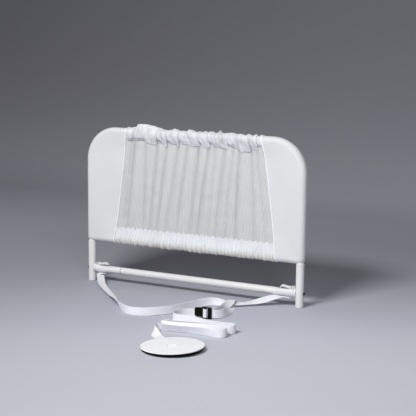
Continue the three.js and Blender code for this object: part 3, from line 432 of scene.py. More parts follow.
def smooth_line(rows, step):
    """Catmull-Rom through the rows, with points about one step apart."""
    rows = np.asarray(rows, float)
    last = len(rows) - 1
    spans = np.linalg.norm(np.diff(rows[:, :3], axis=0), axis=1)
    counts = np.maximum(1, np.round(spans / step).astype(int))
    i = np.append(np.repeat(np.arange(last), counts), last - 1)
    t = np.append(np.concatenate([np.arange(c) / c for c in counts]), 1.0)[:, None]
    p0, p1, p2, p3 = rows[np.maximum(i - 1, 0)], rows[i], rows[i + 1], rows[np.minimum(i + 2, last)]
    square, cube = 2 * p0 - 5 * p1 + 4 * p2 - p3, 3 * p1 - p0 - 3 * p2 + p3
    return 0.5 * (2 * p1 + (p2 - p0) * t + square * t ** 2 + cube * t ** 3)


def table(places, values, at):
    """Values between given places, eased like a cosine."""
    at = np.clip(at, places[0], places[-1])
    i = np.clip(np.searchsorted(places, at, side="right") - 1, 0, len(places) - 2)
    places, values = np.asarray(places, float), np.asarray(values, float)
    t = (at - places[i]) / (places[i + 1] - places[i])
    return values[i] + (values[i + 1] - values[i]) * (1 - np.cos(t * np.pi)) / 2


# Straps
# Routes: x, y, z and the lean of the band's width in degrees, 0 flat and 90 on edge.
# A row of seven has the width's own direction as its last three numbers instead.
bridle_route = [
    (-0.330, 0.013, 0.0285, 0, 1, 0, 0), (-0.330, 0, 0.0284, 0, 1, 0, 0),
    (-0.328, -0.014, 0.0281, 0, 1, 0.02, 0), (-0.318, -0.034, 0.0266, 176), (-0.303, -0.055, 0.0226, 174),
    (-0.286, -0.077, 0.018, 172), (-0.266, -0.098, 0.013, 170), (-0.239, -0.122, 0.008, 168),
    (-0.206, -0.151, 0.0052, 166), (-0.172, -0.187, 0.006, 158), (-0.140, -0.224, 0.0087, 140),
    (-0.105, -0.266, 0.0116, 118), (-0.070, -0.303, 0.0132, 98), (-0.040, -0.327, 0.0134, 90),
    (-0.013, -0.335, 0.0134, 90), (0.015, -0.329, 0.0134, 90), (0.040, -0.312, 0.0134, 90),
    (0.061, -0.287, 0.0134, 90), (0.078, -0.259, 0.0134, 90), (0.092, -0.222, 0.0134, 90),
    (0.103, -0.182, 0.0136, 90), (0.116, -0.148, 0.014, 88), (0.133, -0.121, 0.0144, 78),
    (0.153, -0.106, 0.0124, 54), (0.174, -0.097, 0.009, 26), (0.198, -0.083, 0.007, 8),
    (0.219, -0.067, 0.0074, 6), (0.237, -0.053, 0.0094, 12), (0.254, -0.041, 0.0134, 24),
    (0.272, -0.029, 0.0188, 30), (0.289, -0.017, 0.024, 25), (0.305, -0.007, 0.027, 12),
    (0.320, -0.001, 0.0284, 0, 0, 1, 0), (0.331, 0, 0.0284, 0, 0, 1, 0), (0.343, 0, 0.0284, 0, 0, 1, 0),
]
loop_route = [
    (0.1946, -0.2661, 0.0168, 90), (0.1955, -0.2654, 0.0168, 90), (0.1960, -0.2635, 0.0168, 90),
    (0.1962, -0.2605, 0.0167, 90), (0.1969, -0.2574, 0.0166, 90), (0.1992, -0.2561, 0.0165, 90),
    (0.2045, -0.2557, 0.0162, 90), (0.2110, -0.2545, 0.0157, 90), (0.2190, -0.2495, 0.0147, 90),
    (0.2270, -0.2390, 0.0137, 88), (0.232, -0.224, 0.0132, 86), (0.2305, -0.204, 0.0128, 78),
    (0.224, -0.180, 0.0112, 60), (0.214, -0.154, 0.008, 38), (0.205, -0.130, 0.004, 14),
    (0.197, -0.110, 0.0017, 2), (0.189, -0.091, 0.0017, 0, -0.93, -0.37, 0),
    (0.1825, -0.074, 0.0019, 0, -0.93, -0.37, 0), (0.1794, -0.0666, 0.0046, 0, -0.93, -0.37, 0),
    (0.1788, -0.065, 0.0084, 0, -0.93, -0.37, 0), (0.1804, -0.0688, 0.0128, 0, -0.93, -0.37, 0),
    (0.184, -0.078, 0.0158, 0, -0.93, -0.37, 0), (0.189, -0.094, 0.0168, 0, -0.95, -0.3, 0),
    (0.194, -0.116, 0.0164, 0, -0.9, -0.26, 0.34), (0.198, -0.140, 0.016, 0, -0.66, -0.16, 0.72),
    (0.203, -0.168, 0.0156, 0, -0.34, -0.06, 0.94), (0.207, -0.198, 0.015, 0, -0.08, 0, 1),
    (0.2095, -0.226, 0.0154, 0, 0, 0, 1), (0.212, -0.242, 0.0162, 0, 0, 0, 1),
    (0.2134, -0.2520, 0.0166, 0, 0, 0, 1),
]
bundle_route = [
    (0.1946, -0.266, 0.0168, 90), (0.189, -0.2662, 0.0168, 90), (0.1856, -0.2648, 0.0168, 90),
    (0.1847, -0.261, 0.0168, 90), (0.1839, -0.2574, 0.0166, 90), (0.179, -0.2552, 0.016, 90),
    (0.168, -0.2564, 0.0148, 90), (0.150, -0.262, 0.0136, 90), (0.131, -0.275, 0.013, 88),
    (0.119, -0.296, 0.013, 86), (0.118, -0.320, 0.013, 84), (0.130, -0.337, 0.013, 82),
    (0.154, -0.342, 0.013, 80), (0.184, -0.340, 0.013, 80), (0.215, -0.346, 0.013, 80),
    (0.250, -0.357, 0.0132, 85), (0.290, -0.357, 0.0134, 90), (0.319, -0.352, 0.0134, 90),
    (0.335, -0.356, 0.0134, 90), (0.340, -0.368, 0.0134, 90), (0.333, -0.380, 0.0134, 90),
    (0.315, -0.384, 0.0134, 90), (0.280, -0.382, 0.0132, 84), (0.240, -0.384, 0.013, 76),
    (0.200, -0.391, 0.0128, 68), (0.165, -0.397, 0.0126, 65), (0.145, -0.400, 0.0128, 70),
    (0.133, -0.406, 0.013, 80), (0.133, -0.417, 0.013, 80), (0.146, -0.423, 0.0128, 70),
    (0.180, -0.418, 0.0124, 64), (0.220, -0.409, 0.0126, 66), (0.260, -0.401, 0.0129, 74),
    (0.295, -0.397, 0.0132, 84), (0.317, -0.397, 0.0134, 90), (0.331, -0.402, 0.0134, 90),
    (0.336, -0.413, 0.0134, 90), (0.329, -0.425, 0.0134, 90), (0.312, -0.430, 0.0132, 88),
    (0.280, -0.4285, 0.0128, 76), (0.240, -0.430, 0.0122, 66), (0.200, -0.436, 0.012, 62),
    (0.170, -0.442, 0.0122, 64), (0.151, -0.446, 0.0128, 74),
]
tail_route = [
    (0.1493, -0.4467, 0.0129, 75), (0.142, -0.451, 0.013, 84), (0.1406, -0.463, 0.0128, 80),
    (0.148, -0.479, 0.010, 58), (0.162, -0.494, 0.0062, 30), (0.180, -0.508, 0.0032, 8),
]
# The tail's end on the disc, in the disc's own frame: place along the strap and height
tail_disc_route = [
    (-0.084, 0.0034), (-0.066, 0.0041), (-0.040, 0.0041), (-0.018, 0.0041), (-0.0088, 0.0041),
    (-0.0059, 0.0049), (-0.00495, 0.0068), (-0.00475, 0.0088), (-0.003, 0.0108), (0, 0.0113),
    (0.003, 0.0108), (0.00475, 0.0088), (0.00495, 0.0068),
]
disc = {"x": 0.267, "y": -0.585, "radius": 0.0848, "thick": 0.0032, "pad_radius": 0.082, "pad_thick": 0.0057,
        "tilt": math.radians(1.6), "turn": math.radians(-43.8), "lift": 0.00015}
# The drawn band stays a hair inside the solid one
drawn_width, drawn_thick = webbing_width - 0.0002, webbing_thick - 0.0001


def disc_matrix():
    """The disc leans on its pad's rim, lifted just clear of the floor."""
    lift = disc["lift"] + disc["pad_radius"] * math.sin(disc["tilt"])
    return Matrix.Translation((disc["x"], disc["y"], lift)) @ Matrix.Rotation(-disc["tilt"], 4, "Y")


def tail_rows():
    whole = disc_matrix() @ Matrix.Rotation(disc["turn"], 4, "Z")
    across = (whole.to_3x3() @ Vector((0, 1, 0))).normalized()
    return tail_route + [(*(whole @ Vector((a, 0, z))), 0, *across) for a, z in tail_disc_route]


def strap_frames(rows, step=0.0025):
    points = np.array([r[:3] for r in rows])
    ahead = unit(np.gradient(points, axis=0))
    widths = []
    for row, way in zip(rows, ahead):
        if len(row) > 4:
            widths.append(np.array(row[4:7], float))
            continue
        flat = np.cross((0, 0, 1), way)
        flat /= np.linalg.norm(flat)
        lean = math.radians(row[3])
        widths.append(flat * math.cos(lean) + np.cross(way, flat) * math.sin(lean))
    line = smooth_line(np.hstack([points, np.array(widths)]), step)
    centre, width = line[:, :3], line[:, 3:]
    ahead = unit(np.gradient(centre, axis=0))
    width = unit(width - ahead * (width * ahead).sum(1)[:, None])
    return centre, width, np.cross(ahead, width)


def strap_profile(width, thick):
    """A flat band's outline, with thin selvedges."""
    w, t = width / 2, thick / 2
    half_lane = [-w, -w + 0.0002, -w + 0.0009, -w + 0.0024, -w * 0.5]
    lane = half_lane + [0] + [-a for a in reversed(half_lane)]
    high = [0, 0.55, 0.8, 1, 1, 1, 1, 1, 0.8, 0.55, 0]
    upper = [(a, t * h) for a, h in zip(lane, high)]
    return upper + [(a, -t * h) for a, h in zip(lane[-2:0:-1], high[-2:0:-1])]


def strap_piece(name, rows, body, node):
    centre, across, normal = strap_frames(rows)
    outline = strap_profile(drawn_width, drawn_thick)
    rings = [[c + w * a + n * b for a, b in outline] for c, w, n in zip(centre, across, normal)]
    piece = lofted(name, rings, webbing, body)
    layer = piece.data.uv_layers["cloth"].data
    size = len(outline)
    along = lengths_along(centre)
    for polygon in piece.data.polygons:
        for loop, vertex in zip(polygon.loop_indices, polygon.vertices):
            layer[loop].uv = (outline[vertex % size][0], along[vertex // size])
    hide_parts(node)
    return piece, centre, float(along[-1])


bridle, bridle_path, bridle_length = strap_piece(
    "bridle_webbing", bridle_route, None, "bridle_strap")
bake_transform(bridle)
loop, loop_path, loop_length = strap_piece(
    "anchor_loop_webbing", loop_route, "root", "anchor_strap_loop")
bundle, bundle_path, bundle_length = strap_piece(
    "anchor_bundle_webbing", bundle_route, "root", "anchor_strap_bundle")
tail, tail_path, tail_length = strap_piece(
    "anchor_tail_webbing", tail_rows(), "root", "anchor_strap_tail")


# Frame tubes
def arc_points(sign, steps=28):
    centre = Vector((sign * (leg_x - corner_radius), 0, top_axis_z - corner_radius))
    out = []
    for i in range(steps + 1):
        a = math.pi / 2 * (1 - i / steps)
        out.append(centre + Vector((sign * corner_radius * math.cos(a), 0, corner_radius * math.sin(a))))
    return out


top_tube_ends = {"right": -0.230, "left": 0.150}
bend_low = 0.070
outer_cross_ends, inner_cross_ends = (-0.2570, 0.300), (-0.2987, 0.140)
# A dark ring between the outer and inner cross tube: painted shade standing in for the shadow in the gap at
# the joint
joint_shade_ends, joint_shade_step, joint_shade_gap = (-0.2592, -0.2566), 0.0004, 0.0001


def tube_piece(name, path, radius, body, node, side=(0, 1, 0)):
    tube = hollow_tube(name, path, radius, radius - wall, paint, body, side=side)
    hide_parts(node)


def cross_path(ends):
    return [(x, 0, cross_z) for x in ends]


def frame_tubes():
    for side, sign, radius in (("right", 1, outer_radius), ("left", -1, inner_radius)):
        body = side + "_frame"
        corner = [tuple(p) for p in arc_points(sign)]
        bend = [(top_tube_ends[side], 0, top_axis_z), *corner, (sign * leg_x, 0, bend_low)]
        tube_piece(side + "_bent_tube", bend, radius, body, side + "_frame_tube")
        leg = [(sign * leg_x, 0, sleeve_low), (sign * leg_x, 0, sleeve_high)]
        tube_piece(side + "_lower_sleeve", leg, sleeve_radius, body, side + "_leg_sleeve", side=(1, 0, 0))
    tube_piece("cross_tube_outer", cross_path(outer_cross_ends), outer_radius, "root", "outer_cross_tube")
    tube_piece("cross_tube_inner", cross_path(inner_cross_ends), inner_radius, "left_cross_tube",
               "inner_cross_tube")
    joint_shade_ring = hollow_tube("cross_tube_joint_shade", cross_path(joint_shade_ends), outer_radius - joint_shade_step,
                       inner_radius + joint_shade_gap, joint_shade_plastic, "root")


frame_tubes()


# Cutting, joining and easing edges
def evaluated(piece):
    """Replaces the piece's mesh by the one its modifiers make, and removes them."""
    bpy.context.view_layer.update()
    made = bpy.data.meshes.new_from_object(piece.evaluated_get(bpy.context.evaluated_depsgraph_get()))
    piece.modifiers.clear()
    piece.data = made
    return piece


def raw_piece(name, points, faces, material):
    return make_piece(name, points, faces, material, None, sharp=None)


def combine(piece, joins=(), cuts=()):
    for tools, kind in ((joins, "UNION"), (cuts, "DIFFERENCE")):
        for tool in tools:
            step = piece.modifiers.new("shape", "BOOLEAN")
            step.operation, step.object, step.solver = kind, tool, "EXACT"
    evaluated(piece)
    for tool in (*joins, *cuts):
        bpy.data.objects.remove(tool)
    return piece


merge_distance = 1e-6
flat_angle, crease_degrees = math.radians(0.6), 38


def eased(piece, width, segments=2, angle=32):
    """Merges doubles and flat triangles, rounds the edges over and evens out the shading."""
    b = bmesh.new()
    b.from_mesh(piece.data)
    bmesh.ops.remove_doubles(b, verts=b.verts, dist=merge_distance)
    bmesh.ops.dissolve_limit(b, angle_limit=flat_angle, verts=b.verts, edges=b.edges)
    b.to_mesh(piece.data)
    b.free()
    step = piece.modifiers.new("round", "BEVEL")
    step.width, step.segments, step.use_clamp_overlap = width, segments, True
    step.limit_method, step.angle_limit = "ANGLE", math.radians(angle)
    evaluated(piece)
    smoothed(piece.data, crease_degrees)
    even = piece.modifiers.new("even_shading", "WEIGHTED_NORMAL")
    even.keep_sharp, even.weight = True, 80
    return evaluated(piece)


def place(piece, body, node, slot_name):
    """Gives a piece its body and hides the solid that it replaces; the slot name is not used."""
    if body:
        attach(piece, body)
    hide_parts(node)
    return piece


def turned(name, profile, material, axis="Z", at=(0, 0, 0), faces=56):
    """Turned about an axis: rows are (radius, place along the axis)."""
    rings = []
    ring = circle(1.0, faces)
    rows = [(max(r, 1e-5), a) for r, a in profile]
    for r, a in rows:
        x, y, z = ring[:, 0] * r, ring[:, 1] * r, np.full(faces, a)
        rings.append(np.stack({"Z": (x, y, z), "X": (z, x, y), "Y": (y, z, x)}[axis], -1) + np.array(at))
    rings = np.array(rings)
    faces_list = grid_faces(len(rows), faces, True, False)
    points = rings.reshape(-1, 3)
    last = (len(rows) - 1) * faces
    faces_list += [tuple(range(faces)), tuple(last + i for i in reversed(range(faces)))]
    return raw_piece(name, points, outward(points, faces_list), material)


def slab(name, outline, half, material):
    """A side outline in X and Z, thickened to both sides along Y."""
    count = len(outline)
    points = [(x, y, z) for y in (-half, half) for x, z in outline]
    faces = [(i, (i + 1) % count, count + (i + 1) % count, count + i) for i in range(count)]
    faces += [tuple(reversed(range(count))), tuple(range(count, 2 * count))]
    return raw_piece(name, points, outward(points, faces), material)


def block(name, low, high):
    """A box between two opposite corners."""
    (x0, y0, z0), (x1, y1, z1) = low, high
    box = slab(name, [(x0, z0), (x1, z0), (x1, z1), (x0, z1)], (y1 - y0) / 2, None)
    return moved(box, (0, (y0 + y1) / 2, 0))


def moved(piece, by=(0, 0, 0), matrix=None):
    piece.data.transform(matrix if matrix is not None else Matrix.Translation(by))
    return piece


def to_side(piece, sign):
    """The piece as drawn for the right side, or its mirror image for the left."""
    if sign < 0:
        piece.data.transform(Matrix.Scale(-1, 4, (1, 0, 0)))
        piece.data.flip_normals()
    return piece


def rod(name, start, end, radius, faces=32):
    start, end = Vector(start), Vector(end)
    tool = turned(name, [(radius, 0), (radius, (end - start).length)], None, faces=faces)
    turn = (end - start).to_track_quat("Z", "Y").to_matrix().to_4x4()
    return moved(tool, matrix=Matrix.Translation(start) @ turn)


# Stitches, springs and ribs by Geometry Nodes
class Tree(Graph):
    """One Geometry Nodes tree with named inputs."""

    def __init__(self, name, **inputs):
        """An input is a kind of socket, or a number that is its first value."""
        self.tree = bpy.data.node_groups.new(name, "GeometryNodeTree")
        self.names = {}
        for key, given in inputs.items():
            label, kind = key.replace("_", " "), given if isinstance(given, str) else "Float"
            socket = self.tree.interface.new_socket(label, in_out="INPUT", socket_type="NodeSocket" + kind)
            if kind == "Float":
                socket.default_value = given
            self.names[label] = socket.identifier
        self.tree.interface.new_socket("Geometry", in_out="OUTPUT", socket_type="NodeSocketGeometry")
        self.given = self.add("NodeGroupInput").outputs

    def fed(self, node, **sources):
        """Links outputs to the node's inputs of these names."""
        for key, source in sources.items():
            self.link(source, node.inputs[key.replace("_", " ")])
        return node

    def three(self, *sources):
        """Three numbers joined to a size along x, y and z."""
        node = self.add("ShaderNodeCombineXYZ")
        for i, source in enumerate(sources):
            self.link(source, node.inputs[i])
        return node.outputs[0]

    def beads(self, points, size, segments, rings, **more):
        """A ball set on every point and drawn out to a size."""
        ball = self.set(self.add("GeometryNodeMeshUVSphere"), Segments=segments, Rings=rings, Radius=1.0)
        set_on = self.fed(self.add("GeometryNodeInstanceOnPoints"), Points=points, Scale=size, **more)
        self.link(ball.outputs["Mesh"], set_on.inputs["Instance"])
        return set_on.outputs[0]

    def end(self, geometry, material):
        whole, smooth, finish = (self.add("GeometryNode" + kind) for kind in
                                 ("RealizeInstances", "SetShadeSmooth", "SetMaterial"))
        self.link(geometry, whole.inputs[0])
        self.link(whole.outputs[0], smooth.inputs[0])
        self.fed(finish, Geometry=smooth.outputs[0], Material=material)
        self.link(finish.outputs[0], self.add("NodeGroupOutput").inputs[0])

    def bake(self, name, carrier, **values):
        """The plain mesh that the tree makes of the carrier's points and lines."""
        step = carrier.modifiers.new("nodes", "NODES")
        step.node_group = self.tree
        for key, value in values.items():
            step[self.names[key.replace("_", " ")]] = value
        made = bpy.data.objects.new(name, evaluated(carrier).data)
        bpy.data.objects.remove(carrier)
        scene.collection.objects.link(made)
        return made


def thread_row():
    """Stitches along a line: each is a small rounded stroke laid along it."""
    t = Tree("thread_row", Line="Geometry", Pitch=0.003, Stroke=0.0011, Thread=0.0003,
             Thread_finish="Material")
    curve = t.add("GeometryNodeMeshToCurve")
    t.link(t.given["Line"], curve.inputs[0])
    points = t.fed(t.add("GeometryNodeCurveToPoints", mode="LENGTH"), Length=t.given["Pitch"])
    t.link(curve.outputs[0], points.inputs[0])
    size = t.three(t.given["Thread"], t.given["Thread"], t.given["Stroke"])
    strokes = t.beads(points.outputs["Points"], size, 6, 4, Rotation=points.outputs["Rotation"])
    t.end(strokes, t.given["Thread finish"])
    return t


def spring_coil():
    """A coil of round wire, laid on its side."""
    t = Tree("spring_coil", Anchor="Geometry", Turns=3.0, Coil=0.0027, Wire=0.0003, Reach=0.002,
             Place="Vector", Wire_finish="Material")
    coil = t.fed(t.set(t.add("GeometryNodeCurveSpiral"), Resolution=28), Rotations=t.given["Turns"],
                 Start_Radius=t.given["Coil"], End_Radius=t.given["Coil"], Height=t.given["Reach"])
    section = t.set(t.add("GeometryNodeCurvePrimitiveCircle"), Resolution=10)
    t.fed(section, Radius=t.given["Wire"])
    sweep = t.set(t.add("GeometryNodeCurveToMesh"), Fill_Caps=True)
    t.fed(sweep, Curve=coil.outputs[0], Profile_Curve=section.outputs[0])
    put = t.set(t.add("GeometryNodeTransform"), Rotation=(-math.pi / 2, 0, 0))
    t.fed(put, Geometry=sweep.outputs[0], Translation=t.given["Place"])
    t.end(put.outputs[0], t.given["Wire finish"])
    return t


def rib_row():
    """Grip ribs: rounded bars set one after another along a line of points."""
    t = Tree("rib_row", Line="Geometry", Half_length=0.003, Rib=0.0004, Rib_finish="Material")
    points = t.add("GeometryNodeMeshToPoints")
    t.link(t.given["Line"], points.inputs[0])
    size = t.three(t.given["Rib"], t.given["Half length"], t.given["Rib"])
    t.end(t.beads(points.outputs[0], size, 12, 8), t.given["Rib finish"])
    return t


def carrier_of(lines):
    """An object of plain lines for a tree to work along."""
    points, edges = [], []
    for line in lines:
        start = len(points)
        points += [tuple(map(float, p)) for p in line]
        edges += [(start + i, start + i + 1) for i in range(len(line) - 1)]
    mesh = bpy.data.meshes.new("carrier")
    mesh.from_pydata(points, edges, [])
    carrier = bpy.data.objects.new("carrier", mesh)
    scene.collection.objects.link(carrier)
    return carrier


stitching, coiling, ribbing = thread_row(), spring_coil(), rib_row()


stitch_pitch, stitch_half, thread_radius = 0.0032, 0.00115, 0.0003


def stitches(name, lines, body):
    row = stitching.bake(name, carrier_of(lines), Pitch=stitch_pitch, Stroke=stitch_half,
                         Thread=thread_radius, Thread_finish=trim_cloth)
    if body:
        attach(row, body)
    return row


# End covers
def edge_x(side, z):
    top, low = edge_line[side]
    return low + (top - low) * (z - edge_z[1]) / (edge_z[0] - edge_z[1])


seam_rest_depth, seam_swell = 0.0016, 0.0050
hem_swell_height, header_swell_height = 0.022, 0.018


def seam_depth(z):
    """How far in front of the middle the seam of a cover lies: deeper where it meets the full casings."""
    at_hem = np.exp(-np.maximum(z - hem_high_edge, 0) / hem_swell_height)
    at_header = np.exp(-np.maximum(casing_low_edge - z, 0) / header_swell_height)
    return seam_rest_depth + seam_swell * (at_hem + at_header)


# Shares of the way down the seam at which corner, side, foot turn and lower bar begin
corner_share, side_share, foot_share, bar_share = 0.08, 0.30, 0.90, 0.95
foot_turn = 0.016


def cover_stations(side):
    """Places round the frame tube: centre, the way inward, and how far down the seam each one starts."""
    sign = 1 if side == "right" else -1
    top_x, low_x = (edge_x(side, z) + sign * cord_gap for z in (top_axis_z, lower_bar_z))
    corner_x, shoulder_z = sign * (leg_x - corner_radius), top_axis_z - corner_radius
    drop = lower_bar_z + foot_turn - shoulder_z
    bar_x = sign * (leg_x - foot_turn / 2)
    rows = []
    for t in np.linspace(0, 1, 12)[:-1]:
        centre = (top_x + (corner_x - top_x) * t, 0, top_axis_z)
        rows.append((centre, (0, 0, -1), corner_share * t))
    for t in np.linspace(0, 1, 34)[:-1]:
        a = math.pi / 2 * (1 - t)
        out = (sign * math.cos(a), 0, math.sin(a))
        centre = (corner_x + corner_radius * out[0], 0, shoulder_z + corner_radius * out[2])
        rows.append((centre, (-out[0], 0, -out[2]), corner_share + (side_share - corner_share) * t))
    for t in np.linspace(0, 1, 30)[:-1]:
        centre = (sign * leg_x, 0, shoulder_z + drop * t)
        rows.append((centre, (-sign, 0, 0), side_share + (foot_share - side_share) * t))
    for t in np.linspace(0, 1, 10)[:-1]:
        a = math.pi / 2 * t
        centre = (sign * (leg_x - foot_turn * max(0, t - 0.5)), 0, lower_bar_z + foot_turn * max(0, 0.5 - t))
        inward = (-sign * math.cos(a), 0, math.sin(a))
        rows.append((centre, inward, foot_share + (bar_share - foot_share) * t))
    for t in np.linspace(0, 1, 16):
        centre = (bar_x + (low_x - bar_x) * t, 0, lower_bar_z)
        rows.append((centre, (0, 0, 1), bar_share + (1 - bar_share) * t))
    return rows


wrap_half_angle = math.radians(90 + 16)
skin_half_depth = 0.0015


def cover_column(side, centre, way, share, flat_rows, wrap_rows):
    """One strip of the skin: from the front seam over the tube to the back seam."""
    sign, radius = (1 if side == "right" else -1), cover_radius[side]
    z = casing_low_edge + (hem_high_edge - casing_low_edge) * share
    seam = np.array([edge_x(side, z) + sign * cord_gap, 0, z])
    wrap = [centre - way * radius * math.cos(a) + np.array([0, radius * math.sin(a), 0])
            for a in np.linspace(-wrap_half_angle, wrap_half_angle, wrap_rows)]
    lip = seam_depth(z)
    front_seam, back_seam = seam + (0, -lip, 0), seam + (0, lip, 0)
    front = [front_seam + (wrap[0] - front_seam) * t for t in np.linspace(0, 1, flat_rows)[:-1]]
    back = [wrap[-1] + (back_seam - wrap[-1]) * t for t in np.linspace(0, 1, flat_rows)[1:]]
    return np.array(front + wrap + back)


def cover_skin(side):
    sign = 1 if side == "right" else -1
    flat_rows, wrap_rows = 26, 18
    columns = [cover_column(side, np.array(centre), np.array(way, float), share, flat_rows, wrap_rows)
               for centre, way, share in cover_stations(side)]
    for column in (columns[0], columns[-1]):
        column[:, 0] = [edge_x(side, p[2]) + sign * cord_gap for p in column]
    grid = np.array(columns)
    for low, high, turn in ((0, flat_rows, 1.0), (flat_rows + wrap_rows - 2, grid.shape[1], -1.0)):
        face = stretched(grid[:, low:high].copy())
        x, z = face[..., 0], face[..., 2]
        to_seam = np.abs(x - np.vectorize(edge_x)(side, z))
        to_tube = np.linalg.norm(face - face[:, -1 if turn > 0 else 0][:, None], axis=2)
        pull = 0.0004 * np.exp(-to_seam / 0.012) * np.sin(z * TAU / 0.0135 + 1.7 * np.sin(z * 61))
        soft = 0.0007 * np.sin(x * 31 + z * 13 + (1 if turn > 0 else 3))
        inside = np.minimum(1, to_seam / 0.004) * np.minimum(1, to_tube / 0.03)
        face[..., 1] += turn * inside * (pull + soft * np.minimum(1, to_seam / 0.05))
        too_deep = turn * face[..., 1] > -skin_half_depth
        face[..., 1] = np.where(too_deep, -turn * skin_half_depth, face[..., 1])
        grid[:, low:high] = face
    return grid


def stretched(face):
    """Gives a face the depth of a smooth skin through its four borders (a thin-plate fit)."""
    border = np.concatenate([face[::2, 0], face[::2, -1], face[0, 2:-2:3], face[-1, 2:-2:3]])
    middle, scale = border.mean(0), 0.1
    known, wanted = ((p[..., ::2] - middle[::2]) / scale for p in (border, face.reshape(-1, 3)))

    def bend(points):
        r2 = ((points[:, None] - known[None]) ** 2).sum(2)
        return 0.5 * r2 * np.log(r2 + 1e-12)

    count = len(known)
    flat = np.column_stack([np.ones(count), known])
    system = np.block([[bend(known) + 1e-5 * np.eye(count), flat], [flat.T, np.zeros((3, 3))]])
    weights = np.linalg.lstsq(system, np.concatenate([border[:, 1], np.zeros(3)]), rcond=None)[0]
    level = np.column_stack([np.ones(len(wanted)), wanted]) @ weights[count:]
    fitted = bend(wanted) @ weights[:count] + level
    inner = fitted.reshape(face.shape[:2])
    face[1:-1, 1:-1, 1] = inner[1:-1, 1:-1]
    return face


def sheet_piece(name, grid, material, thickness, uvs=None, offset=-1, marks=()):
    """A skin of points (columns by rows), given a thickness with closed rims.

    Marks are named values on its points."""
    columns, rows = grid.shape[:2]
    faces = grid_faces(columns, rows)
    points = grid.reshape(-1, 3)
    loop_uvs = None if uvs is None else uvs.reshape(-1, 2)[np.array(faces).ravel()]
    piece = make_piece(name, points, faces, material, None, loop_uvs, sharp=None)
    for label, values in dict(marks).items():
        stored = piece.data.attributes.new(label, "FLOAT", "POINT")
        stored.data.foreach_set("value", np.asarray(values, np.float32).ravel())
    solid = piece.modifiers.new("cloth", "SOLIDIFY")
    solid.thickness, solid.offset, solid.use_even_offset = thickness, offset, True
    return evaluated(piece)


cover_thick = 0.001
leg_hole_low, leg_hole_high, leg_hole_gap = 0.090, 0.158, 0.0005
stitch_inset, stitch_lift, stitch_end = cord_radius + 0.0038, 0.0006, 0.004


def end_cover(side, sign, tube):
    """A bag of cloth over one end frame, with a hole for its leg."""
    grid = cover_skin(side)
    if sign > 0:
        grid = grid[:, ::-1]
    piece = sheet_piece(side + "_cover_cloth", grid, panel_cloth, cover_thick, grid[..., ::2])
    hole_low, hole_high = ((sign * leg_x, 0, z) for z in (leg_hole_low, leg_hole_high))
    hole = rod("leg_hole", hole_low, hole_high, tube + leg_hole_gap, 48)
    combine(piece, cuts=[hole])
    only_material(piece.data, panel_cloth)
    smoothed(piece.data, 50)
    return place(piece, side + "_frame", side + "_end_cover", "white_fabric")


def cover_stitches(side, sign):
    """Rows of stitches beside the seam, in front and behind."""
    heights = np.linspace(casing_low_edge - stitch_end, hem_high_edge + stitch_end, 120)
    inset = sign * stitch_inset
    lines = [[(edge_x(side, z) + inset, turn * (seam_depth(z) + stitch_lift), z) for z in heights]
             for turn in (-1, 1)]
    return stitches(side + "_cover_stitches", lines, side + "_frame")


for side, sign, tube in (("right", 1, outer_radius), ("left", -1, inner_radius)):
    cover = end_cover(side, sign, tube)
    row = cover_stitches(side, sign)


# Gathered casings and the net curtain
# Places of the net's folds, at the top seam and at the lower one
fold_lines = [
    (-0.2200, -0.2520), (-0.2085, -0.2385), (-0.1700, -0.1790), (-0.1260, -0.1540), (-0.0930, -0.1290),
    (-0.0520, -0.0990), (-0.0160, -0.0580), (0.0225, -0.0125), (0.0580, 0.0190), (0.0800, 0.0560),
    (0.1130, 0.0800), (0.1420, 0.1150), (0.1620, 0.1520), (0.2030, 0.2140), (0.2200, 0.2560),
]
fold_weight = [0.5, 1.0, 0.7, 0.9, 1.0, 0.8, 0.8, 1.0, 0.9, 0.4, 0.8, 0.5, 0.9, 0.7, 0.4]
# Pinches of the header: place on the crest, place at the lower edge, how tight
pinch_lines = [
    (-0.2320, -0.2290, 0.5), (-0.2040, -0.2060, 1.0), (-0.1810, -0.1700, 0.3), (-0.1590, -0.1390, 0.45),
    (-0.1220, -0.1205, 1.0), (-0.1050, -0.0990, 0.45), (-0.0875, -0.0850, 1.0), (-0.0700, -0.0600, 0.4),
    (-0.0430, -0.0405, 1.0), (-0.0160, 0.0000, 0.4), (0.0200, 0.0300, 0.95), (0.0350, 0.0480, 0.5),
    (0.0545, 0.0665, 1.0), (0.0690, 0.0730, 0.6), (0.0830, 0.0880, 0.8), (0.1060, 0.1160, 0.45),
    (0.1260, 0.1262, 0.8), (0.1450, 0.1457, 0.4), (0.1540, 0.1600, 0.9), (0.1790, 0.1740, 0.5),
    (0.1990, 0.2005, 0.9), (0.2120, 0.2180, 0.5), (0.2260, 0.2270, 0.9), (0.2350, 0.2345, 0.5),
]
header_edge_places = [
    -0.240, -0.222, -0.211, -0.191, -0.172, -0.161, -0.151, -0.130, -0.1254, -0.1209, -0.116, -0.111,
    -0.0934, -0.0886, -0.085, -0.080, -0.073, -0.054, -0.0454, -0.0411, -0.0336, -0.0132, 0.002, 0.0205,
    0.0256, 0.0304, 0.0406, 0.0556, 0.0622, 0.0664, 0.0721, 0.087, 0.1035, 0.120, 0.1263, 0.1328, 0.1556,
    0.164, 0.185, 0.1976, 0.2012, 0.2055, 0.2231, 0.2266, 0.2324, 0.2410,
]
header_edge_heights = [
    0.4620, 0.4700, 0.4719, 0.4724, 0.4729, 0.4650, 0.4641, 0.4602, 0.4600, 0.4780, 0.4750, 0.4725,
    0.4564, 0.4560, 0.4770, 0.4713, 0.4687, 0.4653, 0.4556, 0.4780, 0.4689, 0.4700, 0.4635, 0.4653,
    0.4635, 0.4770, 0.4665, 0.4606, 0.4648, 0.4780, 0.4684, 0.4684, 0.4653, 0.4616, 0.4745, 0.4720,
    0.4676, 0.4570, 0.4590, 0.4585, 0.4732, 0.4686, 0.4639, 0.4790, 0.4737, 0.4700,
]
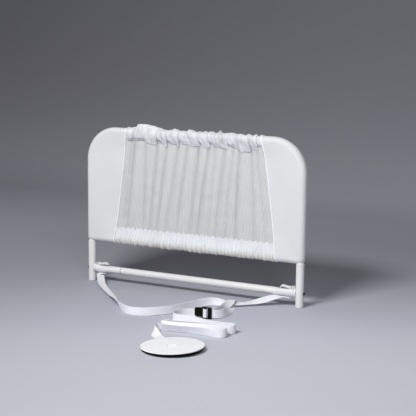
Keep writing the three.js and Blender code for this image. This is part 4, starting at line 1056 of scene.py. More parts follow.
crest_places = [
    -0.239, -0.231, -0.224, -0.205, -0.196, -0.178, -0.162, -0.150, -0.138, -0.124, -0.113, -0.101,
    -0.086, -0.076, -0.062, -0.054, -0.044, -0.031, -0.021, -0.011, -0.004, 0.004, 0.015, 0.025, 0.035,
    0.048, 0.057, 0.063, 0.073, 0.085, 0.095, 0.099, 0.103, 0.108, 0.121, 0.137, 0.153, 0.160, 0.167,
    0.183, 0.198, 0.210, 0.221, 0.230, 0.238,
]
crest_heights = [
    0.002, 0.006, 0.003, 0.006, 0.016, 0.017, 0.0165, 0.014, 0.0125, 0.009, 0.007, 0.003, 0.002, 0.0035,
    0.008, 0.006, 0.0025, 0.003, 0.0015, 0.008, 0.007, 0.006, 0.0005, 0.0045, 0.002, 0.006, 0.003, 0.006,
    0.006, 0.001, 0.007, 0.011, 0.004, 0.0025, 0.0045, 0.006, 0.0045, 0.003, 0.0045, 0.001, 0.0055,
    0.0005, 0.006, 0.0005, 0.005,
]
# Hollows in the header's puffs: place, share of the way down, depth, half width, half height
header_hollows = [
    (-0.184, 0.55, 0.0020, 0.008, 0.25), (-0.152, 0.50, 0.0022, 0.009, 0.30),
    (-0.064, 0.45, 0.0024, 0.007, 0.25), (-0.012, 0.48, 0.0036, 0.012, 0.26),
    (0.012, 0.60, 0.0016, 0.007, 0.22), (0.112, 0.50, 0.0038, 0.009, 0.26),
    (0.138, 0.45, 0.0018, 0.006, 0.30), (0.169, 0.45, 0.0036, 0.008, 0.26),
    (0.187, 0.55, 0.0020, 0.006, 0.26), (0.208, 0.52, 0.0030, 0.006, 0.26),
]
# Single drag folds of the header: place and metres below the crest of each end, half width, depth
header_drags = [
    (-0.198, 0.004, -0.178, 0.042, 0.0022, 0.0022), (-0.186, 0.002, -0.164, 0.036, 0.0016, 0.0013),
    (-0.166, 0.002, -0.142, 0.044, 0.0022, 0.0026), (-0.152, 0.006, -0.130, 0.048, 0.0016, 0.0018),
    (-0.118, 0.010, -0.099, 0.040, 0.0018, 0.0020), (-0.110, 0.006, -0.092, 0.044, 0.0016, 0.0020),
    (-0.100, 0.004, -0.088, 0.036, 0.0014, 0.0016), (-0.080, 0.004, -0.060, 0.046, 0.0018, 0.0020),
    (-0.070, 0.002, -0.050, 0.040, 0.0014, 0.0014), (-0.036, 0.004, -0.028, 0.030, 0.0016, 0.0014),
    (-0.024, 0.002, -0.006, 0.032, 0.0022, 0.0022), (0.006, 0.004, -0.004, 0.034, 0.0018, 0.0016),
    (0.030, 0.004, 0.046, 0.044, 0.0016, 0.0022), (0.040, 0.004, 0.058, 0.042, 0.0014, 0.0020),
    (0.060, 0.004, 0.064, 0.034, 0.0012, 0.0014), (0.075, 0.004, 0.084, 0.032, 0.0014, 0.0014),
    (0.090, 0.006, 0.112, 0.046, 0.0020, 0.0026), (0.100, 0.002, 0.106, 0.028, 0.0016, 0.0018),
    (0.118, 0.004, 0.110, 0.034, 0.0018, 0.0016), (0.133, 0.006, 0.140, 0.040, 0.0016, 0.0016),
    (0.148, 0.004, 0.152, 0.036, 0.0014, 0.0014), (0.160, 0.004, 0.168, 0.036, 0.0018, 0.0024),
    (0.178, 0.004, 0.170, 0.036, 0.0018, 0.0022), (0.190, 0.008, 0.184, 0.044, 0.0016, 0.0016),
    (0.203, 0.004, 0.208, 0.040, 0.0016, 0.0018), (0.214, 0.004, 0.210, 0.034, 0.0014, 0.0014),
    (0.221, 0.006, 0.224, 0.042, 0.0012, 0.0012),
]
# One seeded source for all the random folds, drawn from in a fixed order
seeded = np.random.default_rng(20)


def fabric_x(share, z):
    """Places across the gathered cloth between the two edge cords, by share of the way to the right."""
    low, high = edge_x("left", z) + cord_gap, edge_x("right", z) - cord_gap
    return low + (high - low) * share


def puffs(x, share, lines, reach, skews=None, spread=0.0022):
    """Gathered cloth at every place and share of the way down.

    Gives its fullness, 0 in a tight pinch, and how near a pinch is."""
    start, end, tight = np.array(lines).T
    skews = np.ones(len(start)) if skews is None else skews
    full, near = np.zeros((len(x), len(share))), np.zeros((len(x), len(share)))
    loft = 0.86 + 0.24 * np.sin(73 * skews)
    for j, s in enumerate(share):
        at = start + (end - start) * s
        order = np.argsort(at)
        at, hold, skew, lift = at[order], tight[order], skews[order], loft[order]
        i = np.clip(np.searchsorted(at, x) - 1, 0, len(at) - 2)
        width = np.maximum(at[i + 1] - at[i], 1e-4)
        t = np.clip((x - at[i]) / width, 0, 1)
        lobe = np.sin(np.pi * t ** skew[i]) ** 0.6
        low = 0.8 * (1 - hold[i] + (hold[i] - hold[i + 1]) * t)
        full[:, j] = (low + (1 - low) * lobe) * np.minimum(1, width / reach) ** 0.7 * lift[i]
        after = hold[i] * np.exp(-((x - at[i]) / spread) ** 2)
        before = hold[i + 1] * np.exp(-((at[i + 1] - x) / (0.6 * spread)) ** 2)
        near[:, j] = np.maximum(after, before)
    return full, near


def drags(x, down, marks):
    """Depth and painted shade of single folds, each a valley with the cloth raised on one side of it."""
    depth, dark = np.zeros_like(down), np.zeros_like(down)
    x = np.broadcast_to(x[:, None], down.shape)
    for k, (x0, d0, x1, d1, width, deep) in enumerate(marks):
        ax, ad = x1 - x0, d1 - d0
        length = math.hypot(ax, ad)
        along = ((x - x0) * ax + (down - d0) * ad) / length ** 2
        off = ((x - x0) * ad - (down - d0) * ax) / length
        taper = np.clip(np.sin(np.pi * np.clip(along, 0, 1)), 0, 1) ** 0.6
        valley = np.exp(-np.abs(off) / width) * taper
        side = 1 if k % 3 else -1
        ridge = np.exp(-((off - side * 2.2 * width) / (1.3 * width)) ** 2) * taper
        depth += deep * (valley - 0.6 * ridge)
        # Painted shade along the fold's valley
        dark += 0.55 * valley * min(1, deep / 0.0022)
    return depth, dark


def seeded_drags(count, low_x, high_x, low_down, high_down):
    """Small folds at random places, mostly running down, from the seeded numbers."""
    marks = []
    for _ in range(count):
        x0, d0 = seeded.uniform(low_x, high_x), seeded.uniform(low_down, high_down)
        length, lean = seeded.uniform(0.008, 0.024), seeded.normal(0.15, 0.35)
        width, deep = seeded.uniform(0.0007, 0.0013), seeded.uniform(0.0004, 0.0011)
        marks.append((x0, d0, x0 + length * math.sin(lean), d0 + length * math.cos(lean), width, deep))
    return marks


fold_depth, fold_reach, fold_spread = 0.0084, 0.030, 0.0085


def net_offset(x, z):
    """How far the curtain stands back (+) or forward (-), with soft swells between the folds.

    Returns the folds' painted shade too."""
    z = np.asarray(z, float)
    down = np.clip((casing_low_edge - z) / (casing_low_edge - hem_high_edge), 0, 1)
    first, last = ((fabric_x(end, casing_low_edge), fabric_x(end, hem_high_edge), 0.2) for end in (0, 1))
    lines = [first, *[(a, b, w) for (a, b), w in zip(fold_lines, fold_weight)], last]
    full, near = np.zeros_like(x), np.zeros_like(x)
    skews = 1.0 + 0.42 * np.sin(2.4 * np.arange(len(lines)))
    for j in range(x.shape[1]):
        at = slice(j, j + 1)
        full[:, at], near[:, at] = puffs(x[:, j], down[at], lines, fold_reach, skews, fold_spread)
    down = down[None]
    depth = fold_depth * table([0, 0.12, 0.35, 0.7, 0.9, 1], [0.45, 0.75, 1.0, 0.95, 0.7, 0.35], down)
    top_seam, low_seam = np.exp(-down / 0.06), np.exp(-(1 - down) / 0.07)
    fine = 0.0007 * (top_seam + low_seam) * np.sin(x * TAU / 0.0113 + 2.2 * np.sin(x * 37))
    swell = 0.0008 * np.sin(x * 21 + z[None] * 9)
    to_edge = np.minimum(x - fabric_x(0, z)[None], fabric_x(1, z)[None] - x)
    edge = np.clip(to_edge / 0.010, 0, 1)
    sewn = np.exp(-to_edge / 0.014) * (seam_depth(z)[None] - seam_rest_depth)
    return ((0.5 - full) * depth + fine + swell) * edge - sewn, near * (0.5 + 0.5 * top_seam)


net_high, net_low, net_thick = 0.4815, 0.1795, 0.0003


def net_curtain():
    """The net runs up into the top casing and down into the bottom one."""
    columns, rows_count = 520, 68
    zs = np.linspace(net_high, net_low, rows_count)
    x = np.stack([fabric_x(np.linspace(0, 1, columns), z) for z in zs], 1)
    y, dark = net_offset(x, zs)
    grid = np.stack([x, y, np.repeat(zs[None], columns, 0)], -1)
    along = lengths_along(grid[:, rows_count // 2])
    uvs = np.stack([np.repeat(along[:, None], rows_count, 1), grid[..., 2]], -1)
    # The crease mark is painted shade in the net's folds
    creases = {"crease": np.clip(dark, 0, 1)}
    piece = sheet_piece("net_curtain", grid, net, net_thick, uvs, offset=0, marks=creases)
    return place(piece, None, "mesh_curtain", "white_net")


def half_profile(controls, count):
    """Even points on a smooth line through (distance out, height) rows."""
    line = smooth_line(np.array([(a, b, 0) for a, b in controls]), 0.0025)[:, :2]
    along = lengths_along(line)
    wanted = np.linspace(0, along[-1], count)
    return np.stack([np.interp(wanted, along, line[:, 0]), np.interp(wanted, along, line[:, 1])], -1), wanted


casing_radius, casing_thick = 0.0122, 0.0006
back_lip_rise = 0.0035
back_shift_top, back_shift_low = 0.003, -0.002


def casing_half(top, lip, fin, count):
    """Half a casing's section: its points, the metres down the cloth, and the ways outward."""
    r = casing_radius
    controls = [(0, top), (fin * 0.75, top - 0.0009), (fin, top - 0.0028),
                (r * 0.70, r * 0.86 + 0.15 * (top - r)), (r, r * 0.3), (r, -r * 0.3), (r * 0.80, -r * 0.95),
                (0.0036, -(r + (lip - r) * 0.55)), (0.0011, -lip)]
    half, down = half_profile(controls, count)
    out = np.gradient(half, axis=0)
    normal = unit(np.stack([-out[:, 1], out[:, 0]], -1))
    normal *= np.sign((normal * (half - [0, -lip * 0.3])).sum(1))[:, None]
    return half, down, normal


def casing_grid(axis_z, way, places, crest, lip_z, pinches, envelope, marks, hollows, pinch_shade_shares,
                fin, reach, half_rows):
    """The casing's cloth, from its front edge round the tube to its back edge, with its painted shade.

    The back has the front's pinches a little shifted, and its folds and hollows in mirror image."""
    shares = np.linspace(0, 1, half_rows)
    skews = seeded.uniform(0.72, 1.4, len(pinches))
    net_edge = np.array([casing_low_edge if way > 0 else hem_high_edge])
    net_y = net_offset(places[:, None], net_edge)[0][:, 0]
    halves, painted_shades = [], []
    for face in (-1, 1):
        behind = face > 0
        lines = [(a + back_shift_top * behind, b + back_shift_low * behind, w) for a, b, w in pinches]
        full, near = puffs(places, shares, lines, reach, skews[::-1] if behind else skews)
        lips = [abs(lip_z(x) - axis_z) - back_lip_rise * behind for x in places]
        sections = [casing_half(crest(x), lip, fin, half_rows) for x, lip in zip(places, lips)]
        profiles, downs, normals = (np.array(rows) for rows in zip(*sections))
        folds = [(-a, b, -c, d, e, f) for a, b, c, d, e, f in marks] if behind else marks
        depth, dark = drags(places, downs, folds)
        bite = 1.4 * depth * np.interp(shares, [0, 0.12, 1], [0.15, 1, 1])[None]
        amount = envelope(shares)[None] * full - bite
        for x0, s0, deep, half_x, half_s in hollows:
            beside, below = (places[:, None] + x0 * face) / half_x, (shares[None] - s0) / half_s
            hollow = deep * np.exp(-beside ** 2 - below ** 2)
            amount -= 1.9 * hollow
            # Painted shade in the hollow
            dark += 130 * hollow
        ends = np.clip(np.minimum(places - places[0], places[-1] - places) / 0.006, 0, 1)[:, None]
        amount = np.maximum(amount, -0.0008) * ends
        half = profiles + normals * amount[..., None]
        half[:, 0, 0] = 0
        half[..., 0] = np.maximum(half[..., 0], 0.0009 * (shares > 0)[None])
        halves.append(half)
        # Painted shade near the pinches, set by share of the way down
        pinch_shade = near * np.interp(shares, [0, 0.2, 0.5, 1], pinch_shade_shares)[None]
        painted_shades.append(np.clip(pinch_shade + dark, 0, 1))
    fade = np.clip((shares - 0.55) / 0.45, 0, 1)[None] * net_y[:, None]
    x = np.repeat(places[:, None], half_rows, 1)
    front, back = (np.stack([x, face * half[..., 0] + fade, axis_z + way * half[..., 1]], -1)
                   for face, half in zip((-1, 1), halves))
    grid = np.concatenate([front[:, ::-1], back[:, 1:]], 1)
    return grid, np.concatenate([painted_shades[0][:, ::-1], painted_shades[1][:, 1:]], 1)


def along_edges(grid, shares):
    """Shears each column so that the ends follow the slanted edge cords."""
    for k, share in enumerate(shares):
        reference = grid[k, 0, 0]
        grid[k, :, 0] = [fabric_x(share, z) + (x - reference) for x, z in zip(grid[k, :, 0], grid[k, :, 2])]
    return grid


def cloth_map(grid):
    """Metres along the casing and metres round it."""
    along, down = lengths_along(grid[:, 4]), lengths_along(grid[grid.shape[0] // 2])
    columns, rows = grid.shape[:2]
    return np.stack([np.repeat(along[:, None], rows, 1), np.repeat(down[None], columns, 0)], -1)


def wave(x, amount, length, wander, turns):
    """A small ripple whose length wanders."""
    return amount * math.sin(x * TAU / length + wander * math.sin(x * turns))


def top_header():
    """The top casing: its ruffle stands over the tube; its main folds are in tables, the rest seeded."""
    shares = np.linspace(0, 1, 560)
    places = fabric_x(shares, top_axis_z)

    def crest(x):
        return 0.0118 + table(crest_places, crest_heights, np.array([x]))[0] + wave(x, 0.0005, 0.0071, 2, 53)

    def lip_z(x):
        return float(np.interp(x, header_edge_places, header_edge_heights))

    def envelope(s):
        return np.interp(s, [0, 0.12, 0.4, 0.75, 0.93, 1], [0.0006, 0.0034, 0.0092, 0.0072, 0.0036, 0.0012])

    marks = header_drags + seeded_drags(34, -0.235, 0.235, 0.004, 0.03)
    grid, dark = casing_grid(top_axis_z, 1, places, crest, lip_z, pinch_lines, envelope, marks,
                             header_hollows, pinch_shade_shares=(0.12, 0.7, 1.0, 1.0), fin=0.0034, reach=0.026,
                             half_rows=34)
    grid = along_edges(grid, shares)
    # The crease mark is painted shade in the header's folds, pinches and hollows
    piece = sheet_piece("gathered_header", grid, casing_cloth, casing_thick, cloth_map(grid),
                        marks={"crease": dark})
    return place(piece, None, "top_casing", "white_fabric"), grid


hem_start, hem_end = -0.285, 0.296


def hem_pinches():
    """Pinches at random steps along the hem, each with a small lean and its own tightness."""
    at = np.cumsum(seeded.uniform(0.0048, 0.0145, 120)) + hem_start
    at = at[at < hem_end]
    leans = seeded.uniform(-0.005, 0.005, len(at))
    tight = seeded.uniform(0.5, 1.0, len(at))
    return [(a + lean, a - lean, w) for a, lean, w in zip(at, leans, tight)]


def hem_folds():
    """Small folds at the crest, small ones lower down, and some bolder ones."""
    marks = seeded_drags(90, -0.285, 0.290, -0.004, 0.016) + seeded_drags(30, -0.285, 0.290, 0.016, 0.036)
    bold = seeded_drags(26, -0.280, 0.285, 0.008, 0.030)
    return marks + [(*ends, 1.6 * width, 1.9 * deep) for *ends, width, deep in bold]


def lower_hem():
    """The bottom casing: its scalloped crest hangs under the lower bar."""
    shares = np.linspace(0, 1, 640)
    places = fabric_x(shares, lower_bar_z)
    pinches = hem_pinches()
    scallops, _ = puffs(places, np.array([0.0]), pinches, 0.011)

    def crest(x):
        scallop = float(np.interp(x, places, scallops[:, 0])) ** 2.2
        return 0.0122 + 0.0074 * scallop + 0.0011 * math.sin(x * 47)

    def lip_z(x):
        return hem_high_edge - 0.001 + wave(x, 0.0022, 0.019, 2, 33) + wave(x, 0.0015, 0.0084, 1.6, 71)

    def envelope(s):
        return np.interp(s, [0, 0.12, 0.3, 0.5, 0.75, 1], [0.0008, 0.0044, 0.0044, 0.0022, 0.0014, 0.0003])

    grid, dark = casing_grid(lower_bar_z, -1, places, crest, lip_z, pinches, envelope, hem_folds(), (),
                             pinch_shade_shares=(0.75, 0.95, 0.34, 0.20), fin=0.0030, reach=0.011, half_rows=28)
    grid = along_edges(grid, shares)
    # Painted shade: the hem is darker and warmer towards its bottom, under the lower bar, and darker in its
    # folds and pinches
    shade_heights = [lower_bar_z - 0.014, lower_bar_z - 0.004, lower_bar_z + 0.012]
    under = np.interp(grid[..., 2], shade_heights, [1.0, 0.7, 0.0])
    marks = {"crease": dark[:, ::-1], "under": under[:, ::-1]}
    piece = sheet_piece("gathered_hem", grid[:, ::-1], casing_cloth, casing_thick, cloth_map(grid)[:, ::-1],
                        marks=marks)
    return place(piece, None, "bottom_casing", "white_fabric"), grid


def seam_lines(grid, row=3, lift=0.0002):
    """A line of stitches on the front and one on the back, a few rows in from the cloth's edges."""
    last = grid.shape[1] - 1
    return [grid[2:-2, at] + np.array([0, turn * lift, 0]) for at, turn in ((row, -1), (last - row, 1))]


curtain = net_curtain()
header, header_grid = top_header()
hem, hem_grid = lower_hem()
header_row = stitches("header_stitches", seam_lines(header_grid), None)
hem_row = stitches("hem_stitches", seam_lines(hem_grid), None)
for piece in (curtain, header, hem, header_row, hem_row):
    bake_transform(piece)


# Piping
piping_radius, piping_lift = 0.0021, 0.0010


def piping(side):
    """A covered cord along the seam: over the top tube, down the back, under the bar and up the front."""
    ring_radius = cover_radius[side] + piping_lift
    heights = np.linspace(casing_low_edge, hem_high_edge, 60)
    bends = [math.pi * i / 24 for i in range(25)]
    path = [(-ring_radius * math.cos(a), top_axis_z + ring_radius * math.sin(a)) for a in bends]
    path += [(seam_depth(z), z) for z in heights]
    path += [(ring_radius * math.cos(a), lower_bar_z - ring_radius * math.sin(a)) for a in bends]
    path += [(-seam_depth(z), z) for z in heights[::-1]]
    points = np.array([(edge_x(side, z), y, z) for y, z in path])
    for _ in range(2):
        points = (np.roll(points, 1, 0) + 2 * points + np.roll(points, -1, 0)) / 4
    ahead = unit(np.roll(points, -1, 0) - np.roll(points, 1, 0))
    lean = np.array([edge_x(side, 1) - edge_x(side, 0), 0, 1])
    lean /= np.linalg.norm(lean)
    across = np.array([lean[2], 0, -lean[0]])
    normal = unit(np.cross(ahead, across))
    ring = circle(piping_radius, 14)
    rings = [[p + across * a + n * b for a, b in ring] for p, n in zip(points, normal)]
    piece = lofted(side + "_piping", rings, trim_cloth, None, closed=True, sharp=None)
    return place(piece, side + "_frame", side + "_edge_cord", "white_fabric")


for side in ("right", "left"):
    piping(side)


# Hinge parts, drawn for the right side: places along x are distances from the rail's middle
fit = {"face": 0.3545, "collar": 0.346, "collar_r": 0.0135, "cone": 0.330, "shank": 0.302, "shank_r": 0.011,
       "plug": 0.3003, "plug_r": 0.0094, "spigot": 0.262, "long_bore": 0.299, "long_bore_r": 0.0098,
       "long_shank": 0.2585}
latch_x, latch_z = 0.3475, cross_z + 0.0155
slot_half, cheek, slot_floor, cheek_top = 0.0052, 0.003, cross_z + 0.0053, cross_z + 0.0194
slot_start, cheek_start, cheek_end = 0.304, 0.3385, 0.3542
saddle_gap, saddle_end = 0.0003, 0.362
notch_half, notch_deep, notch_low, notch_high = 0.0034, 0.0025, 0.0053, 0.012
pin_hole_r, rivet_hole_r, bolt_hole_r = 0.0018, 0.0023, 0.0043
rivet_x, strap_z = 0.330, 0.0284
# The lever's side outline, in millimetres from its pin: towards the middle, and up
lever_outline = [
    (-6.8, -8.5), (-6.8, -5.9), (-3.2, -2.2), (-3.4, 1.4), (-1.6, 3.4), (1.6, 3.5), (12, 3.2), (24, 5.2),
    (29.2, 7.1), (31.6, 6.7), (39.6, -0.4), (39.2, -1.5), (30.4, 0.6), (22, -0.8), (8, -2.6), (2.4, -4.4),
    (-2.2, -8.5),
]
lever_half, spring_room_r = 0.0045, 0.0039
lever_rib_places, lever_rib_heights = np.linspace(0.0260, 0.0298, 4), (0.0059, 0.0065, 0.0070, 0.0070)
lever_rib_half, lever_rib_r = 0.0034, 0.00042
coil_r, wire_r, coil_reach, coil_y = 0.0027, 0.00028, 0.0021, -0.0046


def hole_across(name, x, z, radius):
    return rod(name, (x, -0.02, z), (x, 0.02, z), radius, 24)


def hinge_fitting(side, sign, body):
    """The fitting on the cross tube: shank, cone and collar, with cheeks and a slot for the lever."""
    shank, shank_r, collar_r, face = (fit[key] for key in ("shank", "shank_r", "collar_r", "face"))
    shoulder = fit["collar"] - 0.0012
    outside = [
        (shank_r, shank), (shank_r + 0.0004, fit["cone"]), (collar_r - 0.0009, shoulder - 0.001),
        (collar_r, shoulder + 0.001), (collar_r, face - 0.0008), (collar_r - 0.0008, face), (0, face),
    ]
    if sign > 0:
        start, bore, bore_r = fit["spigot"], fit["plug"], fit["plug_r"]
        inside = [(0, start), (bore_r - 0.0006, start), (bore_r, start + 0.001), (bore_r, bore),
                  (shank_r - 0.0004, bore)]
    else:
        start, bore, bore_r = fit["long_shank"], fit["long_bore"], fit["long_bore_r"]
        inside = [(0, bore), (bore_r, bore), (bore_r, start), (shank_r - 0.0006, start),
                  (shank_r, start + 0.0008)]
    piece = turned(side + "_end_fitting", inside + outside, white_plastic, "X", (0, 0, cross_z), 64)
    cheek_outline = [
        (cheek_start, cross_z), (cheek_end, cross_z), (cheek_end, cheek_top - 0.0032),
        (cheek_end - 0.0032, cheek_top), (cheek_start + 0.0064, cheek_top),
        (cheek_start, slot_floor + 0.0032),
    ]
    cheeks = slab("cheeks", cheek_outline, slot_half + cheek, white_plastic)
    combine(piece, joins=[cheeks])
    combine(piece, cuts=[
        block("slot", (slot_start, -slot_half, slot_floor), (0.358, slot_half, 0.09)),
        hole_across("pin_hole", latch_x, latch_z, pin_hole_r),
        rod("rivet_hole", (rivet_x, 0, 0.01), (rivet_x, 0, strap_z + 0.0055), rivet_hole_r, 24),
        rod("bolt_hole", (0.333, 0, cross_z), (0.36, 0, cross_z), bolt_hole_r, 24)])
    eased(piece, 0.0006)
    return place(to_side(piece, sign), body, side + "_hinge_fitting", "hinge_plastic")


def hinge_saddle(side, sign):
    """The saddle on the leg that the fitting turns against, with a notch above and one below."""
    low, high, r = fit["face"] + saddle_gap, saddle_end, fit["collar_r"]
    outline = [(0, low), (r - 0.0006, low), (r, low + 0.0006), (r, high), (0, high)]
    piece = turned(side + "_leg_saddle", outline, white_plastic, "X", (0, 0, cross_z), 64)
    cuts = [rod("leg", (leg_x, 0, 0), (leg_x, 0, sleeve_high), sleeve_radius + saddle_gap, 64),
            rod("hole", (0.35, 0, cross_z), (0.38, 0, cross_z), bolt_hole_r, 24)]
    for way in (1, -1):
        a, b = sorted((cross_z + way * notch_low, cross_z + way * notch_high))
        cuts.append(block("notch", (0.35, -notch_half, a), (low + notch_deep, notch_half, b)))
    combine(piece, cuts=cuts)
    eased(piece, 0.0004)
    return place(to_side(piece, sign), side + "_frame", side + "_hinge_saddle", "hinge_plastic")


def latch_lever(side, sign, body):
    """The lever between the cheeks, with room for its spring, a narrow nose and ribs for the thumb."""
    outline = [(latch_x - a / 1000, latch_z + b / 1000) for a, b in lever_outline]
    piece = slab(side + "_lever", outline, lever_half, white_plastic)
    room = [(latch_x, y, latch_z) for y in (-2 * lever_half, -0.0021)]
    cuts = [hole_across("pin_hole", latch_x, latch_z, pin_hole_r), rod("spring_room", *room, spring_room_r)]
    for way in (1, -1):
        a, b = sorted((way * 0.003, way * 2 * lever_half))
        cuts.append(block("nose_side", (latch_x + 0.0036, a, slot_floor), (0.36, b, latch_z)))
    combine(piece, cuts=cuts)
    eased(piece, 0.0006)
    place(to_side(piece, sign), body, side + "_latch_lever", "hinge_plastic")
    line = [(sign * (latch_x - a), 0, latch_z + b) for a, b in zip(lever_rib_places, lever_rib_heights)]
    ribs = ribbing.bake(side + "_lever_ribs", carrier_of([line]), Half_length=lever_rib_half, Rib=lever_rib_r,
                        Rib_finish=white_plastic)
    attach(ribs, body)


def latch_pin(side, sign, body):
    """A pin with a flat head at each end."""
    half = slot_half + cheek + 0.0003
    end = [(0.0015, half), (0.0025, half), (0.0025, half + 0.0005), (0.0019, half + 0.0012),
           (0, half + 0.0012)]
    outline = [(r, -y) for r, y in reversed(end)] + end
    pin = turned(side + "_hinge_pin", outline, pin_steel, "Y", (sign * latch_x, 0, latch_z), 32)
    eased(pin, 0.0002)
    place(pin, body, side + "_latch_pin", "pin_steel")


def latch_spring(side, sign, body):
    anchor = carrier_of([[(0, 0, 0), (0, 0, 0.001)]])
    coil = coiling.bake(side + "_coil_spring", anchor, Turns=3.0, Coil=coil_r, Wire=wire_r, Reach=coil_reach,
                        Place=(sign * latch_x, coil_y, latch_z), Wire_finish=pin_steel)
    place(coil, body, side + "_latch_spring", "pin_steel")


def pivot_bolt(side, sign, body):
    """A dark bolt through fitting, saddle and leg, with a domed head that takes a hexagon key."""
    head = leg_x + sleeve_radius + 0.0003
    high = head + 0.0027
    bolt = turned(side + "_bolt", [
        (0, 0.336), (0.0034, 0.336), (0.004, 0.3366), (0.004, head), (0.0050, head), (0.0052, head + 0.0003),
        (0.0052, head + 0.0012), (0.0049, head + 0.0019), (0.0041, head + 0.0025), (0.0036, high), (0, high)],
        bolt_steel, "X", (0, 0, cross_z), 48)
    key = [(0.0024, high - 0.002), (0.0024, high + 0.001)]
    combine(bolt, cuts=[turned("hexagon", key, None, "X", (0, 0, cross_z), 6)])
    eased(bolt, 0.0002)
    place(to_side(bolt, sign), body, side + "_pivot_bolt", "dark_bolt")


def strap_rivet(side, sign):
    """Holds the bridle strap under its fitting; the right one reaches up into the fitting's bore."""
    face = strap_z - webbing_thick / 2 - 0.00045
    top = strap_z + 0.0055 - 0.0006 if sign > 0 else strap_z + webbing_thick / 2
    rivet = turned(side + "_stud", [
        (0, face - 0.0018), (0.0022, face - 0.0018), (0.0038, face - 0.0014), (0.0048, face - 0.0006),
        (0.005, face), (0.002, face), (0.002, top), (0, top)], pin_steel, at=(sign * rivet_x, 0, 0), faces=40)
    eased(rivet, 0.00015)
    place(rivet, "root", side + "_strap_rivet", "pin_steel")


def foot_cap(side, sign):
    """A cap round the leg's end with a plug up into the tube."""
    r = sleeve_radius
    cap = turned(side + "_foot", [
        (0, 0), (r - 0.0022, 0), (r - 0.0008, 0.0004), (r, 0.0016), (r, 0.0054), (r - 0.0004, 0.006),
        (0.011, 0.006), (0.0108, 0.0205), (0.0096, 0.022), (0, 0.022)],
        white_plastic, at=(sign * leg_x, 0, 0), faces=64)
    eased(cap, 0.0003)
    place(cap, side + "_frame", side + "_foot_cap", "hinge_plastic")


def leg_cuff(side, sign, tube):
    """A ring over the joint of leg sleeve and frame tube; the left one has a skirt down into the sleeve."""
    low = sleeve_high + 0.0003
    high, bore = low + 0.0043, tube + 0.0003
    skirt = [(bore, 0.104), (0.011, 0.104), (0.011, low)] if side == "left" else [(bore, low)]
    section = skirt + [
        (0.0126, low), (0.0131, low + 0.0004), (0.0132, low + 0.0008), (0.0126, low + 0.0017),
        (0.0125, low + 0.0022), (0.0126, low + 0.0027), (0.0132, high - 0.0008), (0.0131, high - 0.0003),
        (0.0126, high), (bore, high),
    ]
    flat_rings = [np.concatenate([circle(r, 64), np.full((64, 1), z)], 1) for r, z in section]
    rings = [ring + (sign * leg_x, 0, 0) for ring in flat_rings]
    cuff = lofted(side + "_cuff", rings, white_plastic, None, closed=True, sharp=30)
    place(cuff, side + "_frame", side + "_leg_cuff", "hinge_plastic")


for side, sign, tube, cross_body in (
        ("right", 1, outer_radius, "root"), ("left", -1, inner_radius, "left_cross_tube")):
    hinge_fitting(side, sign, cross_body)
    hinge_saddle(side, sign)
    latch_lever(side, sign, side + "_latch")
    latch_pin(side, sign, cross_body)
    latch_spring(side, sign, cross_body)
    pivot_bolt(side, sign, cross_body)
    strap_rivet(side, sign)
    foot_cap(side, sign)
    leg_cuff(side, sign, tube)
    only_material(nodes[side + "_lower_bar"].data, paint)


# Buckle: places along x of its waist, bars and ends, then its heights
buckle_left, buckle_waist, buckle_right = 0.157, 0.182, 0.210
bar_low, bar_high, end_bar = 0.1874, 0.1926, 0.199
buckle_low, buckle_high, grip_low, grip_high, buckle_thick = 0.0006, 0.0346, 0.005, 0.031, 0.004
window_low, window_high = 0.0036, 0.0306
buckle_bevel, grip_slant = 0.0007, 0.0035
recess_y, recess_rim = 0.0014, 0.0045
buckle_rib_half, buckle_rib_r = 0.0078, 0.0007
buckle_y, buckle_turn = -0.261, 0.0032


def buckle():
    """A wide end with two windows round its bars, and a narrower grip with ribs in a shallow recess."""
    left, waist, right, low, high = buckle_left, buckle_waist, buckle_right, buckle_low, buckle_high
    bevel, slant = buckle_bevel, grip_slant
    outline = [
        (left, grip_low + slant), (left + slant, grip_low), (waist - slant, grip_low), (waist, low + bevel),
        (waist + bevel, low), (right - bevel, low), (right, low + bevel), (right, high - bevel),
        (right - bevel, high), (waist + bevel, high), (waist, high - bevel), (waist - slant, grip_high),
        (left + slant, grip_high), (left, grip_high - slant),
    ]
    body = slab("side_release_buckle", outline, buckle_thick / 2, black_plastic)
    windows = ((waist, bar_low), (bar_high, end_bar))
    cuts = [block("window", (a, -0.01, window_low), (b, 0.01, window_high)) for a, b in windows]
    for face in (-1, 1):
        a, b = sorted((face * recess_y, face * 0.01))
        cuts.append(block("recess", (left + recess_rim, a, grip_low + recess_rim),
                          (waist - 0.0040, b, grip_high - recess_rim)))
    combine(body, cuts=cuts)
    eased(body, 0.0005, 3)
    ribs = []
    for face, name in ((-1, "buckle_ribs_front"), (1, "buckle_ribs_back")):
        line = [(x, 0, 0) for x in np.linspace(left + 0.0075, waist - 0.0070, 5)]
        row = ribbing.bake(name, carrier_of([line]), Half_length=buckle_rib_half, Rib=buckle_rib_r,
                           Rib_finish=black_plastic)
        upright = Matrix.Translation((0, face * recess_y, (grip_low + grip_high) / 2))
        ribs.append(moved(row, matrix=upright @ Matrix.Rotation(math.pi / 2, 4, "X")))
    middle, turn = (left + right) / 2, math.atan2(buckle_turn, right - left)
    about = Matrix.Rotation(turn, 4, "Z") @ Matrix.Translation((-middle, 0, 0))
    for piece in (body, *ribs):
        moved(piece, matrix=Matrix.Translation((middle, buckle_y, 0)) @ about)
    for row in ribs:
        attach(row, "root")
    return place(body, "root", "strap_buckle", "black_plastic"), ribs


the_buckle, buckle_ribs = buckle()


# Disc and its pad
strap_slot_x, strap_slot_r, strap_slot_half = 0.0050, 0.0022, 0.0133
channel_far, channel_near, channel_half, channel_deep = -0.17, 0.017, 0.0132, 0.0033


